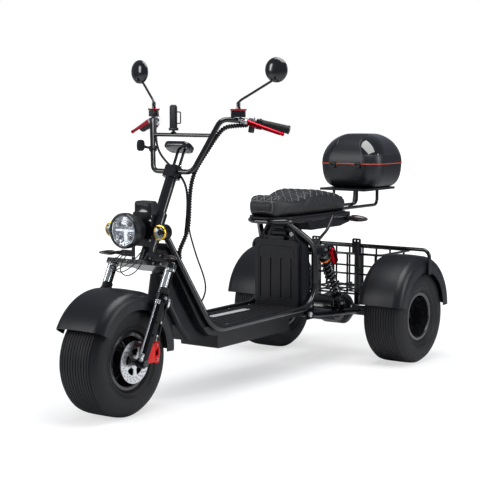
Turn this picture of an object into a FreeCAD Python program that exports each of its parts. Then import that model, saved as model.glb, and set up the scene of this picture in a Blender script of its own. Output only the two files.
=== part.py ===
import FreeCAD, Part
import math
import os
import Sketcher

# Motorized trike with fat tyres. Millimetres, +Z up, the nose towards -Y and its left side towards +X.
# Lengths along the vehicle are measured from the front axle; every sub-part is then shifted by one size,
# so that the origin lies on the ground below the middle of the whole vehicle.

doc = FreeCAD.newDocument("MotorizedTrike")
sheet = doc.addObject("Spreadsheet::Sheet", "Sizes")


def text_of(value):
    """The formula of a size, or the digits of a bare number."""
    return value.formula if isinstance(value, Size) else f"{float(value):.8g}"


class Size(float):
    """A number that remembers the sheet cells it was worked out from."""

    def __new__(cls, value, formula):
        made = super().__new__(cls, value)
        made.formula = formula
        return made

    def __add__(self, other):
        return Size(float(self) + float(other), f"({self.formula} + {text_of(other)})")

    def __radd__(self, other):
        return Size(float(other) + float(self), f"({text_of(other)} + {self.formula})")

    def __sub__(self, other):
        return Size(float(self) - float(other), f"({self.formula} - {text_of(other)})")

    def __rsub__(self, other):
        return Size(float(other) - float(self), f"({text_of(other)} - {self.formula})")

    def __mul__(self, other):
        return Size(float(self) * float(other), f"({self.formula} * {text_of(other)})")

    def __rmul__(self, other):
        return Size(float(other) * float(self), f"({text_of(other)} * {self.formula})")

    def __truediv__(self, other):
        return Size(float(self) / float(other), f"({self.formula} / {text_of(other)})")

    def __neg__(self):
        return Size(-float(self), f"(-1 * {self.formula})")


def size(alias, value):
    """Writes one driving size into the sheet and hands it back."""
    row = size.row = getattr(size, "row", 0) + 1
    sheet.set(f"A{row}", alias)
    sheet.set(f"B{row}", f"{value}")
    sheet.setAlias(f"B{row}", alias)
    return Size(value, f"Sizes.{alias}")


# Wheels
tyre_radius = size("tyre_radius", 227)
tyre_half = size("tyre_half_width", 106)
bead_radius = size("bead_radius", 104)
flange_radius = bead_radius + size("rim_flange_height", 12)
rim_half = tyre_half - size("tyre_bulge", 18)
flange_wall = size("rim_flange_wall", 4)
barrel_wall = size("rim_barrel_wall", 5)
hub_radius = size("hub_radius", 38)
axle_radius = size("axle_radius", 10)
wheelbase = size("wheelbase", 1690)
rear_track_half = size("rear_track_half", 379)
running_gap = size("running_gap", 0.08)
seat_gap = size("seat_gap", 0.3)

# Brake disc and caliper
disc_radius = size("disc_radius", 85)
disc_wall = size("disc_thickness", 4)
disc_offset = rim_half + size("disc_standoff", 24)

# Fenders
fender_radius = tyre_radius + size("fender_clearance", 31)
fender_half = tyre_half + size("fender_side_clearance", 20)
fender_wall = size("fender_wall", 3)
fender_skirt = fender_radius - size("fender_skirt_depth", 76)
fender_shift = size("fender_centre_y", 10)
fender_stand = tyre_radius + size("fender_centre_rise", 25)
rear_fender_radius = tyre_radius + size("rear_fender_clearance", 35)
rear_fender_half = tyre_half + size("rear_fender_side_clearance", 12)
rear_fender_shift = size("rear_fender_shift", 4)
rear_fender_stand = fender_stand + size("rear_fender_lift", 6)
stay_radius = size("stay_tube_radius", 9)

# Steering
rake = size("rake_angle", 27)
fork_lead = size("fork_lead", 17.8)
leg_width = size("leg_width", 26)
leg_spread = fender_half + leg_width / 2 + size("leg_to_fender", 11)
leg_depth = size("leg_depth", 44)
leg_top = fender_radius + size("leg_above_fender", 27)
stanchion_radius = size("stanchion_radius", 15)
crown_base = leg_top + size("stanchion_in_view", 112)
crown_wall = size("crown_thickness", 20)
stem_radius = size("stem_radius", 23.5)
head_base = crown_base + crown_wall + size("crown_to_head_tube", 5)
head_length = size("head_tube_length", 200)
head_wall = size("head_tube_wall", 7)
clamp_height = head_base + head_length + size("stem_in_view", 208)

# Handlebar
bar_radius = size("bar_radius", 11)
bar_back = size("bar_behind_axle_line", 14.7)
grip_radius = size("grip_radius", 17)
grip_length = size("grip_length", 125)
mirror_radius = size("mirror_radius", 52)

# Lamps
lamp_radius = size("headlamp_radius", 72)
lens_radius = size("headlamp_lens_radius", 62)
lamp_reach = size("headlamp_ahead_of_crown", 107.3)
lamp_rise = size("headlamp_above_crown", 136.5)
bowl_depth = size("headlamp_depth", 104)
bracket_wall = size("lamp_bracket_thickness", 6)
signal_x = size("front_signal_root_x", 111)
fog_radius = size("fog_lamp_radius", 31)
fog_spread = size("fog_lamp_spread", 127)

# Frame and floor
rail_radius = size("rail_radius", 14)
rail_spread = size("rail_spread", 150)
deck_height = size("deck_height", 300)
deck_wall = size("deck_thickness", 36)
floor_front = fender_radius + fender_shift + size("fender_to_floor", 202)
hoop_rear = wheelbase - size("rear_axle_to_hoop", 434)
head_rail_x = size("head_rail_x", 34)
pivot_drop = size("pivot_below_deck", 34)
lug_wall = size("lug_thickness", 6)

# Battery, seat and tail
seat_base = size("seat_base_z", 716)
hoop_top = seat_base - size("hoop_below_seat", 16)
battery_half = rail_spread - size("battery_to_rail", 32)
battery_depth = size("battery_depth", 22)
pillar_face = hoop_rear - size("pillar_depth", 76)
battery_front = pillar_face - battery_depth
battery_top = hoop_top - size("battery_below_hoop", 88)
pan_wall = size("seat_pan_thickness", 8)
seat_tube = size("seat_tube_radius", 11)
loop_half = size("seat_loop_half_width", 112)
tray_half = loop_half - seat_tube - seat_gap
seat_front = hoop_rear - size("seat_nose_reach", 234)
seat_rear = hoop_rear + size("seat_tail_reach", 344)
seat_half = loop_half + size("seat_over_loop", 18)
cushion_height = size("cushion_height", 107)

# Shocks
shock_x = rail_spread - size("shock_to_rail", 22)
eye_half = size("shock_eye_half_width", 13)
eye_radius = size("shock_eye_radius", 14)
shock_lean = size("shock_lean", 149)
shock_back = size("shock_foot_to_axle", 185)
shock_foot_z = tyre_radius + size("shock_foot_rise", 58)
bottle_radius = size("shock_bottle_radius", 19)
bottle_length = size("shock_bottle_length", 60)

# Top case
case_half_width = size("case_half_width", 176)
case_half_depth = size("case_half_depth", 160)
case_base = seat_base + size("case_above_seat_base", 104)
case_seam = case_base + size("case_tub_height", 122)
case_top = case_seam + size("case_lid_height", 145)
case_wall = size("case_wall", 4)
case_y = seat_rear + size("case_behind_seat", 330)

# Basket
basket_half = rear_track_half + rear_fender_shift - rear_fender_half - size("basket_to_fender", 30)
tube_y = wheelbase + size("cross_tube_behind_axle", 14)
tube_z = fender_stand + rear_fender_radius + size("cross_tube_above_fender", 32)
post_half = size("post_half_width", 13)
post_spread = size("post_spread", 117)
basket_depth = size("basket_depth", 300)
basket_floor = size("basket_floor_z", 300)
basket_top = size("basket_top_z", 500)
wire_radius = size("basket_wire_radius", 5)

# Cables
cable_radius = size("cable_radius", 7)

# Place of the front axle behind the origin, from the two ends of the vehicle
front_axle_y = (tyre_radius - case_y - case_half_depth) / 2
doc.recompute()

V = FreeCAD.Vector
nodes = []


def sind(angle):
    return math.sin(math.radians(angle))


def cosd(angle):
    return math.cos(math.radians(angle))


def bind(thing, path, value):
    """Ties a property to the sheet; a bare number is only set."""
    if isinstance(value, Size):
        thing.setExpression(path, value.formula)
    else:
        setattr(thing, path, value)


def moved(thing, x=0, y=0, z=0, turn=None):
    """Puts an object at a place that follows the sheet."""
    thing.Placement = FreeCAD.Placement(V(x, y, z), turn or FreeCAD.Rotation())
    for letter, value in zip("xyz", (x, y, z)):
        if isinstance(value, Size):
            thing.setExpression(f"Placement.Base.{letter}", value.formula)
    return thing


def node(thing, name):
    """Names a finished sub-part, which is then written to its own file."""
    thing.Label = name
    nodes.append(thing)
    return thing


def on_vehicle(thing, name):
    """A sub-part drawn from the front axle and the ground."""
    return node(moved(thing, 0, front_axle_y, 0), name)


def on_fork(thing, name):
    """A sub-part drawn along the raked fork, from the front axle."""
    return node(moved(thing, 0, front_axle_y, tyre_radius, fork_turn), name)


fork_turn = FreeCAD.Rotation(V(1, 0, 0), -rake)


def fork_y(back, up):
    """How far behind the front axle a point of the raked fork lies."""
    return back * cosd(rake) + up * sind(rake)


def fork_z(back, up):
    """How high above the ground a point of the raked fork lies."""
    return tyre_radius - back * sind(rake) + up * cosd(rake)


def fork_point(x, back, up):
    """A point given along the raked fork, in the vehicle's own axes."""
    return V(x, fork_y(back, up), fork_z(back, up))


# Places that several sub-parts share
crown_y = fork_y(0, crown_base + crown_wall)
crown_z = fork_z(0, crown_base + crown_wall)
lamp_y = crown_y - lamp_reach
lamp_z = crown_z + lamp_rise
bar_y = fork_y(bar_back, clamp_height)
bar_z = fork_z(bar_back, clamp_height)
rail_y = fork_y(fork_lead + 41, head_base + 132)
rail_z = fork_z(fork_lead + 41, head_base + 132)
bend_z = hoop_top - 110
shock_top_z = hoop_top - 144


# Sketches
def new_body(name):
    return doc.addObject("PartDesign::Body", name)


def origin_feature(body, role):
    return next(item for item in body.Origin.OriginFeatures if item.Role == role)


def sketch_on(body, plane, offset=0):
    """An empty sketch on one of the body's own planes, lifted by an offset."""
    sketch = body.newObject("Sketcher::SketchObject", f"{body.Name}_sketch")
    sketch.AttachmentSupport = [(origin_feature(body, plane), "")]
    sketch.MapMode = "FlatFace"
    sketch.AttachmentOffset = FreeCAD.Placement(V(0, 0, offset), FreeCAD.Rotation())
    if isinstance(offset, Size):
        sketch.setExpression("AttachmentOffset.Base.z", offset.formula)
    return sketch


def pin_point(sketch, edge, end, x, y):
    """Fixes one sketch point by its two coordinates."""
    for kind, value, axis in (("DistanceX", x, -2), ("DistanceY", y, -1)):
        if not isinstance(value, Size) and value == 0:
            sketch.addConstraint(Sketcher.Constraint("PointOnObject", edge, end, axis))
            continue
        index = sketch.addConstraint(Sketcher.Constraint(kind, -1, 1, edge, end, float(value)))
        if isinstance(value, Size):
            sketch.setExpression(f"Constraints[{index}]", value.formula)


def fix_radius(sketch, edge, radius):
    index = sketch.addConstraint(Sketcher.Constraint("Radius", edge, float(radius)))
    if isinstance(radius, Size):
        sketch.setExpression(f"Constraints[{index}]", radius.formula)


def circle_in(sketch, x, y, radius):
    edge = sketch.addGeometry(Part.Circle(V(x, y, 0), V(0, 0, 1), float(radius)))
    pin_point(sketch, edge, 3, x, y)
    fix_radius(sketch, edge, radius)


def rounding(before, corner, after, radius):
    """The two tangent points and the centre of the arc that rounds a corner."""
    inward = (before - corner).normalize()
    outward = (after - corner).normalize()
    half = math.acos(max(-1, min(1, inward.dot(outward)))) / 2
    reach = radius / math.tan(half)
    centre = corner + (inward + outward).normalize() * (radius / math.sin(half))
    return corner + inward * reach, corner + outward * reach, centre


def trace(sketch, corners, closed=True):
    """Lines through the corners, each given as x, y and the radius that rounds it."""
    corners = [corner if len(corner) == 3 else (*corner, 0) for corner in corners]
    count = len(corners)
    points = [V(x, y, 0) for x, y, radius in corners]
    starts, ends, arcs = {}, {}, {}
    for index, (x, y, radius) in enumerate(corners):
        starts[index] = ends[index] = points[index]
        if radius and (closed or 0 < index < count - 1):
            arrive, leave, centre = rounding(points[index - 1], points[index], points[(index + 1) % count],
                                             radius)
            starts[index], ends[index] = leave, arrive
            turns_left = (arrive - centre).cross(leave - centre).z > 0
            first, last = (arrive, leave) if turns_left else (leave, arrive)
            angles = [math.atan2(tip.y - centre.y, tip.x - centre.x) for tip in (first, last)]
            circle = Part.Circle(centre, V(0, 0, 1), float(radius))
            arcs[index] = (Part.ArcOfCircle(circle, *angles), turns_left)
    sides = count if closed else count - 1
    lines = [Part.LineSegment(starts[i], ends[(i + 1) % count]) for i in range(sides)]
    first_line = sketch.addGeometry(lines)[0]
    for index, (x, y, radius) in enumerate(corners):
        before = first_line + (index - 1) % count
        after = first_line + index
        if index in arcs:
            arc, turns_left = arcs[index]
            edge = sketch.addGeometry(arc)
            mark = sketch.addGeometry(Part.Point(points[index]), True)
            arrive_end, leave_end = (1, 2) if turns_left else (2, 1)
            sketch.addConstraint([
                Sketcher.Constraint("Tangent", before, 2, edge, arrive_end),
                Sketcher.Constraint("Tangent", edge, leave_end, after, 1),
                Sketcher.Constraint("PointOnObject", mark, 1, before),
                Sketcher.Constraint("PointOnObject", mark, 1, after)])
            pin_point(sketch, mark, 1, x, y)
            fix_radius(sketch, edge, radius)
            continue
        if closed or 0 < index < count - 1:
            sketch.addConstraint(Sketcher.Constraint("Coincident", before, 2, after, 1))
        if closed or index < count - 1:
            pin_point(sketch, after, 1, x, y)
        else:
            pin_point(sketch, before, 2, x, y)
    return sketch


def rectangle(low_x, low_y, high_x, high_y, radius=0):
    """The corners of a rectangle, all rounded alike."""
    return [(low_x, low_y, radius), (high_x, low_y, radius), (high_x, high_y, radius),
            (low_x, high_y, radius)]


# Features
def pad(body, sketch, length, both_ways=False, backwards=False):
    feature = body.newObject("PartDesign::Pad", f"{body.Name}_pad")
    feature.Profile = sketch
    bind(feature, "Length", length)
    feature.SideType = "Symmetric" if both_ways else "One side"
    feature.Reversed = backwards
    sketch.Visibility = False
    return feature


def pocket(body, sketch, length):
    """Cuts a sketch out of the body, half of the length to each side of its plane."""
    feature = body.newObject("PartDesign::Pocket", f"{body.Name}_pocket")
    feature.Profile = sketch
    bind(feature, "Length", length)
    feature.SideType = "Symmetric"
    return feature


def revolve(body, sketch, axis, angle=360):
    feature = body.newObject("PartDesign::Revolution", f"{body.Name}_revolve")
    feature.Profile = sketch
    feature.ReferenceAxis = (sketch, [axis])
    bind(feature, "Angle", angle)
    return feature


def around(body, feature, axis, count):
    """Repeats a feature round one of the body's own axes."""
    pattern = body.newObject("PartDesign::PolarPattern", f"{body.Name}_round")
    pattern.Originals = [feature]
    pattern.Axis = (origin_feature(body, axis), [""])
    pattern.Angle = 360
    pattern.Occurrences = count
    body.Tip = pattern
    return pattern


def in_line(body, feature, axis, length, count):
    """Repeats a feature along one of the body's own axes."""
    pattern = body.newObject("PartDesign::LinearPattern", f"{body.Name}_row")
    pattern.Originals = [feature]
    pattern.Direction = (origin_feature(body, axis), [""])
    bind(pattern, "Length", length)
    pattern.Occurrences = count
    body.Tip = pattern
    return pattern


def loft(body, sketches, cut=False, ruled=False):
    kind = "PartDesign::SubtractiveLoft" if cut else "PartDesign::AdditiveLoft"
    feature = body.newObject(kind, f"{body.Name}_loft")
    feature.Profile = sketches[0]
    feature.Sections = sketches[1:]
    feature.Ruled = ruled
    return feature


# Plain solids
def rod(name, radius, start, end):
    """A round bar between two points."""
    bar = doc.addObject("Part::Cylinder", name)
    bind(bar, "Radius", radius)
    bar.Height = (end - start).Length
    bar.Placement = FreeCAD.Placement(start, FreeCAD.Rotation(V(0, 0, 1), end - start))
    return bar


def block(name, low, high):
    """A box between its lowest and highest corners."""
    brick = doc.addObject("Part::Box", name)
    brick.Length, brick.Width, brick.Height = [high[i] - low[i] for i in range(3)]
    brick.Placement.Base = V(*low)
    return brick


def fused(name, pieces):
    whole = doc.addObject("Part::MultiFuse", name)
    whole.Shapes = pieces
    whole.Refine = True
    return whole


def cut_from(name, base, tool):
    left = doc.addObject("Part::Cut", name)
    left.Base = base
    left.Tool = tool
    return left


def mirrored(piece):
    other = doc.addObject("Part::Mirroring", f"{piece.Name}_right")
    other.Source = piece
    other.Normal = V(1, 0, 0)
    return other


def together(name, pieces):
    """Several solids of one kind that share a node."""
    group = doc.addObject("Part::Compound", name)
    group.Links = pieces
    return group


def pair(name, pieces):
    """Pieces of the left side and their mirror images."""
    return together(name, [*pieces, *[mirrored(piece) for piece in pieces]])


def centre_line(corners):
    """A wire through points, each given with the radius of its bend."""
    points = [V(*corner[:3]) for corner in corners]
    edges = []
    start = points[0]
    for index in range(1, len(points) - 1):
        radius = corners[index][3]
        arrive, leave, centre = rounding(points[index - 1], points[index], points[index + 1], radius)
        middle = centre + ((arrive + leave) / 2 - centre).normalize() * radius
        edges.append(Part.LineSegment(start, arrive).toShape())
        edges.append(Part.Arc(arrive, middle, leave).toShape())
        start = leave
    edges.append(Part.LineSegment(start, points[-1]).toShape())
    return Part.Wire(edges)


def tube_shape(corners, radius):
    """A round bar bent along tangent arcs."""
    wire = centre_line(corners)
    start = V(*corners[0][:3])
    along = V(*corners[1][:3]) - start
    ring = Part.Wire(Part.makeCircle(float(radius), start, along))
    return wire.makePipeShell([ring], True, False)


def feature_of(name, shape):
    """A sub-part whose form no sketch or primitive gives."""
    thing = doc.addObject("Part::Feature", name)
    thing.Shape = shape
    return thing


def bent(name, corners, radius):
    return feature_of(name, tube_shape(corners, radius))


def both_sides(corners):
    """A path from the right end through the middle to the left end."""
    return [(-corner[0], *corner[1:]) for corner in reversed(corners)] + corners


# Wheels
def make_tyre(name):
    """A fat tyre whose beads sit between the rim flanges."""
    body = new_body(name)
    section = sketch_on(body, "XY_Plane")
    bead_half = rim_half - flange_wall - seat_gap
    half = [
        (bead_half, bead_radius),
        (bead_half, flange_radius + 4, 8),
        (tyre_half, flange_radius + 44, 26),
        (tyre_half - 1, tyre_radius - 32, 26),
        (tyre_half - 22, tyre_radius - 6, 24),
        (40, tyre_radius, 300)]
    trace(section, half + [(-c[0], *c[1:]) for c in reversed(half)])
    revolve(body, section, "H_Axis")
    return body


hub_inset = 20
web_wall = 12
lip_round = 1.5


def make_rim(name, web, hub_out):
    """A deep dish: barrel, flanges, a web near the inner side and a bored hub."""
    body = new_body(name)
    section = sketch_on(body, "XY_Plane")
    bed = bead_radius - seat_gap
    barrel = bed - barrel_wall
    flange_in = rim_half - flange_wall
    bore = axle_radius + running_gap
    trace(section, [
        (flange_in, bed), (flange_in, flange_radius, lip_round), (rim_half, flange_radius, lip_round),
        (rim_half, barrel, 6),
        (web + web_wall, barrel - 4, 10), (web + web_wall, hub_radius, 6), (hub_out, hub_radius - 8, 6),
        (hub_out, bore), (-rim_half + hub_inset, bore), (-rim_half + hub_inset, hub_radius, 4),
        (web, hub_radius, 6),
        (web, barrel - 4, 6), (-rim_half, barrel, 6), (-rim_half, flange_radius, lip_round),
        (-flange_in, flange_radius, lip_round),
        (-flange_in, bed)])
    revolve(body, section, "H_Axis")
    return body


disc_bore_gap = 4
hole_rows = ((7, 0), (15.5, 6), (24, 12))
hole_radius = 3
hole_count = 20
window_count = 5


def make_disc(name):
    """A flat disc with a bore, windows and rows of drilled holes."""
    body = new_body(name)
    outline = sketch_on(body, "YZ_Plane", disc_offset)
    circle_in(outline, 0, 0, disc_radius)
    circle_in(outline, 0, 0, axle_radius + disc_bore_gap)
    pad(body, outline, disc_wall)
    window = sketch_on(body, "YZ_Plane", disc_offset)
    band = disc_radius - 31
    through = disc_wall * 4
    trace(window, [(-9, band - 28, 5), (9, band - 28, 5),
                   (23, band - 4, 7), (0, band + 1, 60), (-23, band - 4, 7)])
    around(body, pocket(body, window, through), "X_Axis", window_count)
    for inset, turn in hole_rows:
        hole = sketch_on(body, "YZ_Plane", disc_offset)
        circle_in(hole, (disc_radius - inset) * sind(turn), (disc_radius - inset) * cosd(turn), hole_radius)
        around(body, pocket(body, hole, through), "X_Axis", hole_count)
    return body


half_turn = FreeCAD.Rotation(V(0, 0, 1), 180)
wheels = (("front", 0, 0, None), ("rear_left", rear_track_half, wheelbase, None),
          ("rear_right", -rear_track_half, wheelbase, half_turn))
rear_hub_face, front_web, rear_web = 20, -20, -36
hub_faces = {"front": disc_offset - seat_gap, "rear_left": rear_hub_face, "rear_right": rear_hub_face}
webs = {"front": front_web, "rear_left": rear_web, "rear_right": rear_web}
for label, wheel_x, wheel_y, turn in wheels:
    node(moved(make_tyre(f"{label}_tyre"), wheel_x, front_axle_y + wheel_y, tyre_radius, turn),
         f"{label}_tyre")
    rim = make_rim(f"{label}_rim", webs[label], hub_faces[label])
    node(moved(rim, wheel_x, front_axle_y + wheel_y, tyre_radius, turn), f"{label}_rim")
node(moved(make_disc("front_brake_disc"), 0, front_axle_y, tyre_radius), "front_brake_disc")

# Front axle: a bar through the hub, its spacers and the nuts outside the legs
leg_inner = leg_spread - leg_width / 2
axle_end = leg_spread + 26
spacer_wall, wide_spacer_wall, spacer_gap = 3.5, 6, 0.5
nut_radius, nut_wall = 16, 12
axle_bar = rod("axle_bar", axle_radius, V(-axle_end, 0, 0), V(axle_end, 0, 0))
spacer_left = rod("spacer_left", axle_radius + spacer_wall,
                  V(disc_offset + disc_wall + 2 * spacer_gap, 0, 0), V(leg_inner - seat_gap, 0, 0))
spacer_right = rod("spacer_right", axle_radius + wide_spacer_wall, V(-leg_inner + seat_gap, 0, 0),
                   V(-rim_half + hub_inset - spacer_gap, 0, 0))
nuts = []
for side in (-1, 1):
    nut = doc.addObject("Part::Prism", "axle_nut")
    nut.Polygon = 6
    nut.Circumradius = nut_radius
    nut.Height = nut_wall
    nut_middle = leg_spread + leg_width / 2 + seat_gap + nut_wall / 2
    nut.Placement = FreeCAD.Placement(V(side * nut_middle - nut_wall / 2, 0, 0),
                                      FreeCAD.Rotation(V(0, 1, 0), 90))
    nuts.append(nut)
on_fork(fused("front_axle_fuse", [axle_bar, spacer_left, spacer_right, *nuts]), "front_axle")

# Fork legs: oval lower tubes with an axle eye, each with a second tube behind the stanchion
legs = new_body("legs")
leg_back = leg_depth / 2 + 4
leg_foot, leg_corner = -8, 12
boss_half, boss_step, boss_height, boss_drop = 18, 4, 30, 26
back_tube_radius = 8.5
outline = sketch_on(legs, "XY_Plane", leg_foot)
trace(outline, rectangle(leg_spread - leg_width / 2, leg_back - leg_depth,
                         leg_spread + leg_width / 2, leg_back, leg_corner))
pad(legs, outline, leg_top - leg_foot)
eye = sketch_on(legs, "YZ_Plane", leg_spread)
circle_in(eye, 0, 0, axle_radius + 11)
pad(legs, eye, leg_width, both_ways=True)
boss = sketch_on(legs, "XY_Plane", leg_top - boss_drop)
trace(boss, rectangle(leg_spread - boss_half, leg_back - leg_depth - boss_step,
                      leg_spread + boss_half, leg_back + boss_step, 14))
pad(legs, boss, boss_height)
back_tube = sketch_on(legs, "XY_Plane", leg_top - 1)
circle_in(back_tube, leg_spread, leg_back - 9, back_tube_radius)
pad(legs, back_tube, crown_base - leg_top + 1 - seat_gap)
bore = sketch_on(legs, "YZ_Plane", leg_spread)
circle_in(bore, 0, 0, axle_radius + running_gap)
pocket(legs, bore, leg_width * 3)
on_fork(pair("fork_lower_legs", [legs]), "fork_lower_legs")

# Chrome stanchions between the legs and the crown, and the bright rod along each leg
stanchion_y, leg_rod_radius = -7, 4.5
leg_rod_y = leg_back - leg_depth - leg_rod_radius - seat_gap
stanchion = rod("stanchion", stanchion_radius,
                V(leg_spread, stanchion_y, leg_top - boss_drop + boss_height + seat_gap),
                V(leg_spread, stanchion_y, crown_base - seat_gap))
leg_rod = rod("leg_rod", leg_rod_radius, V(leg_spread, leg_rod_y, 14),
              V(leg_spread, leg_rod_y, leg_top - boss_drop - seat_gap))
on_fork(pair("fork_stanchions", [stanchion, leg_rod]), "fork_stanchions")

# Steering stem: crown plate, stem tube, collar and the clamp that holds the bar
collar_wall, collar_height = 7, 18
clamp_drop, clamp_block = 30, 52
crown_end = leg_spread + 26
stem = new_body("stem")
crown = sketch_on(stem, "XY_Plane", crown_base)
trace(crown, [(-crown_end, -28, 20), (crown_end, -28, 20), (crown_end, 20, 20), (60, 22, 20),
              (38, fork_lead + 30, 16), (-38, fork_lead + 30, 16), (-60, 22, 20), (-crown_end, 20, 20)])
pad(stem, crown, crown_wall)
tube = sketch_on(stem, "XY_Plane", crown_base)
circle_in(tube, 0, fork_lead, stem_radius)
pad(stem, tube, clamp_height - crown_base)
collar = sketch_on(stem, "XY_Plane", head_base + head_length + 2)
circle_in(collar, 0, fork_lead, stem_radius + collar_wall)
pad(stem, collar, collar_height)
clamp = sketch_on(stem, "XY_Plane", clamp_height - clamp_drop)
trace(clamp, rectangle(-32, bar_back - 24, 32, bar_back + 28, 8))
pad(stem, clamp, clamp_block)
bar_hole = sketch_on(stem, "YZ_Plane")
circle_in(bar_hole, bar_back, clamp_height, bar_radius + running_gap)
pocket(stem, bar_hole, 200)
on_fork(stem, "steering_stem")

# Handlebar: one bent tube and the brace between its risers
def by_bar(x, back, up):
    """A point measured from the middle of the bar's lowest stretch."""
    return V(x, bar_y + back, bar_z + up)


riser_foot = by_bar(103, 0, 0)
riser_top = by_bar(184, 93, 218)
bar_elbow = by_bar(248, 208, 208)
bar_end = by_bar(392, 282, 173)
brace_share = 0.69
brace_at = riser_foot + (riser_top - riser_foot) * brace_share
brace_y = brace_at.y
brace_z = brace_at.z
brace_radius = 8
bar_path = both_sides([(*riser_foot, 38), (*riser_top, 46), (*bar_elbow, 70), (*bar_end, 0)])
brace = Part.makeCylinder(brace_radius, 2 * brace_at.x, V(-brace_at.x, brace_y, brace_z), V(1, 0, 0))
on_vehicle(feature_of("handlebar_shape", tube_shape(bar_path, bar_radius).fuse(brace)), "handlebar")

# Grips: sleeves on the bar ends
grip_line = (bar_elbow - bar_end).normalize()
grip_turn = FreeCAD.Rotation(V(0, 0, 1), grip_line)


def on_grip(thing):
    thing.Placement = FreeCAD.Placement(bar_end, grip_turn)
    return thing


grip = new_body("grip")
sleeve = sketch_on(grip, "XZ_Plane")
trace(sleeve, [(0, -5), (grip_radius + 1, -5, 3), (grip_radius + 1, 4, 2), (grip_radius, 8, 2),
               (grip_radius, grip_length - 8, 2), (grip_radius + 5, grip_length - 4, 2),
               (grip_radius + 5, grip_length, 1),
               (bar_radius + running_gap, grip_length), (bar_radius + running_gap, -seat_gap),
               (0, -seat_gap)])
revolve(grip, sleeve, "V_Axis")
on_vehicle(pair("handlebar_grips", [on_grip(grip)]), "handlebar_grips")

# Levers, their perches with the fluid cups, and the switch pods
lever_end = by_bar(402, 222, 156)
lever_radius, lever_ball = 5.5, 8
lever = bent("lever", [(*by_bar(246.3, 160, 212), 0), (*by_bar(266, 160, 212), 24),
                       (*by_bar(352, 212, 172), 60), (*lever_end, 0)], lever_radius)
lever_tip = doc.addObject("Part::Sphere", "lever_tip")
lever_tip.Radius = lever_ball
lever_tip.Placement.Base = lever_end
on_vehicle(pair("brake_levers", [fused("lever_whole", [lever, lever_tip])]), "brake_levers")


def along_bar(distance):
    """A point on the straight of the grip, measured back from the bar's end."""
    return bar_end + grip_line * distance


def sleeve_on_bar(name, radius, start, end, bore_radius):
    """A clamp round the bar between two distances from its end."""
    outer = rod(f"{name}_outer", radius, along_bar(start), along_bar(end))
    inner = rod(f"{name}_inner", bore_radius, along_bar(start - 1), along_bar(end + 1))
    return cut_from(name, outer, inner)


bar_bore = bar_radius + running_gap
pod = sleeve_on_bar("pod", 19, grip_length + seat_gap, grip_length + 18, bar_bore)
cup = block("cup", by_bar(204, 138, 224), by_bar(262, 170, 252))
arm = block("arm", by_bar(206, 138, 204), by_bar(246, 176, 225))
bar_clearance = bent("bar_clearance", bar_path, bar_bore)
perch = cut_from("perch", fused("perch_whole", [cup, arm]), bar_clearance)
on_vehicle(pair("bar_controls", [pod, perch]), "bar_controls")
cap = new_body("cap")
cap_plan = sketch_on(cap, "XY_Plane")
trace(cap_plan, rectangle(-32, -18, 32, 18, 5))
pad(cap, cap_plan, 7)
on_vehicle(pair("reservoir_caps", [moved(cap, *by_bar(233, 154, 252 + seat_gap))]), "reservoir_caps")

# Round mirrors on bent stalks
mirror_centre = by_bar(366, 226, 420)
mirror_face = V(-0.12, 1, 0.02).normalize()
stalk_foot = by_bar(226, 156, 259 + 2 * seat_gap)
stalk = bent("stalk", [(*stalk_foot, 0), (*by_bar(226, 156, 290), 16), (*by_bar(352, 230, 380), 14),
                       (*by_bar(366, 222, 394), 0)], 5)
mirror = new_body("mirror")
shell = sketch_on(mirror, "XZ_Plane")
trace(shell, [(0, -16), (26, -14, 20), (mirror_radius, 0, 4), (mirror_radius, 6, 1.5), (0, 6)])
revolve(mirror, shell, "V_Axis")
mirror.Placement = FreeCAD.Placement(mirror_centre, FreeCAD.Rotation(V(0, 0, 1), mirror_face))
on_vehicle(pair("mirrors", [fused("mirror_whole", [stalk, mirror])]), "mirrors")

# Dashboard: an oval display on a bracket that rises from the bar clamp
dash = new_body("dash")
dash_outline = sketch_on(dash, "XY_Plane")
trace(dash_outline, rectangle(-67, -34, 67, 34, 26))
pad(dash, dash_outline, 24)
dash.Placement = FreeCAD.Placement(by_bar(0, 38, 90), FreeCAD.Rotation(V(1, 0, 0), -18))
clamp_top = clamp_height - clamp_drop + clamp_block
dash_posts = [rod("dash_post", 6, fork_point(x, bar_back, clamp_top + seat_gap),
                  fork_point(x, bar_back, clamp_top + 84))
              for x in (-16, 16)]
on_vehicle(fused("dash_whole", [dash, *dash_posts]), "dashboard")

# Things clamped to the bar: a phone holder in the middle and a paddle on the right riser
holder_foot = brace_z + brace_radius + seat_gap
holder_plate = block("holder_plate", V(-62, brace_y - 6, holder_foot + 10),
                     V(-28, brace_y + 6, holder_foot + 118))
holder_post = rod("holder_post", 5.5, V(-45, brace_y, holder_foot), V(-45, brace_y, holder_foot + 14))
on_vehicle(together("bar_accessories", [fused("holder", [holder_plate, holder_post])]), "bar_accessories")

# Headlamp: a bowl with a recessed lens, both turned about the vehicle's length
bowl = new_body("bowl")
bowl_section = sketch_on(bowl, "XY_Plane")
trace(bowl_section, [(0, 6), (lens_radius + seat_gap, 6), (lens_radius + seat_gap, -12),
                     (lamp_radius, -14, 4),
                     (lamp_radius, 16, 20), (lamp_radius - 26, 78, 30), (22, bowl_depth, 6),
                     (0, bowl_depth)])
revolve(bowl, bowl_section, "V_Axis")
on_vehicle(together("headlamp_housing", [moved(bowl, 0, lamp_y, lamp_z)]), "headlamp_housing")
lens = new_body("lens")
lens_section = sketch_on(lens, "XY_Plane")
trace(lens_section, [(0, 6 - seat_gap), (0, -17), (lens_radius - 20, -14, 60), (lens_radius, -8, 2),
                     (lens_radius, 6 - seat_gap)])
revolve(lens, lens_section, "V_Axis")
on_vehicle(together("headlamp_lens", [moved(lens, 0, lamp_y, lamp_z)]), "headlamp_lens")

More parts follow.
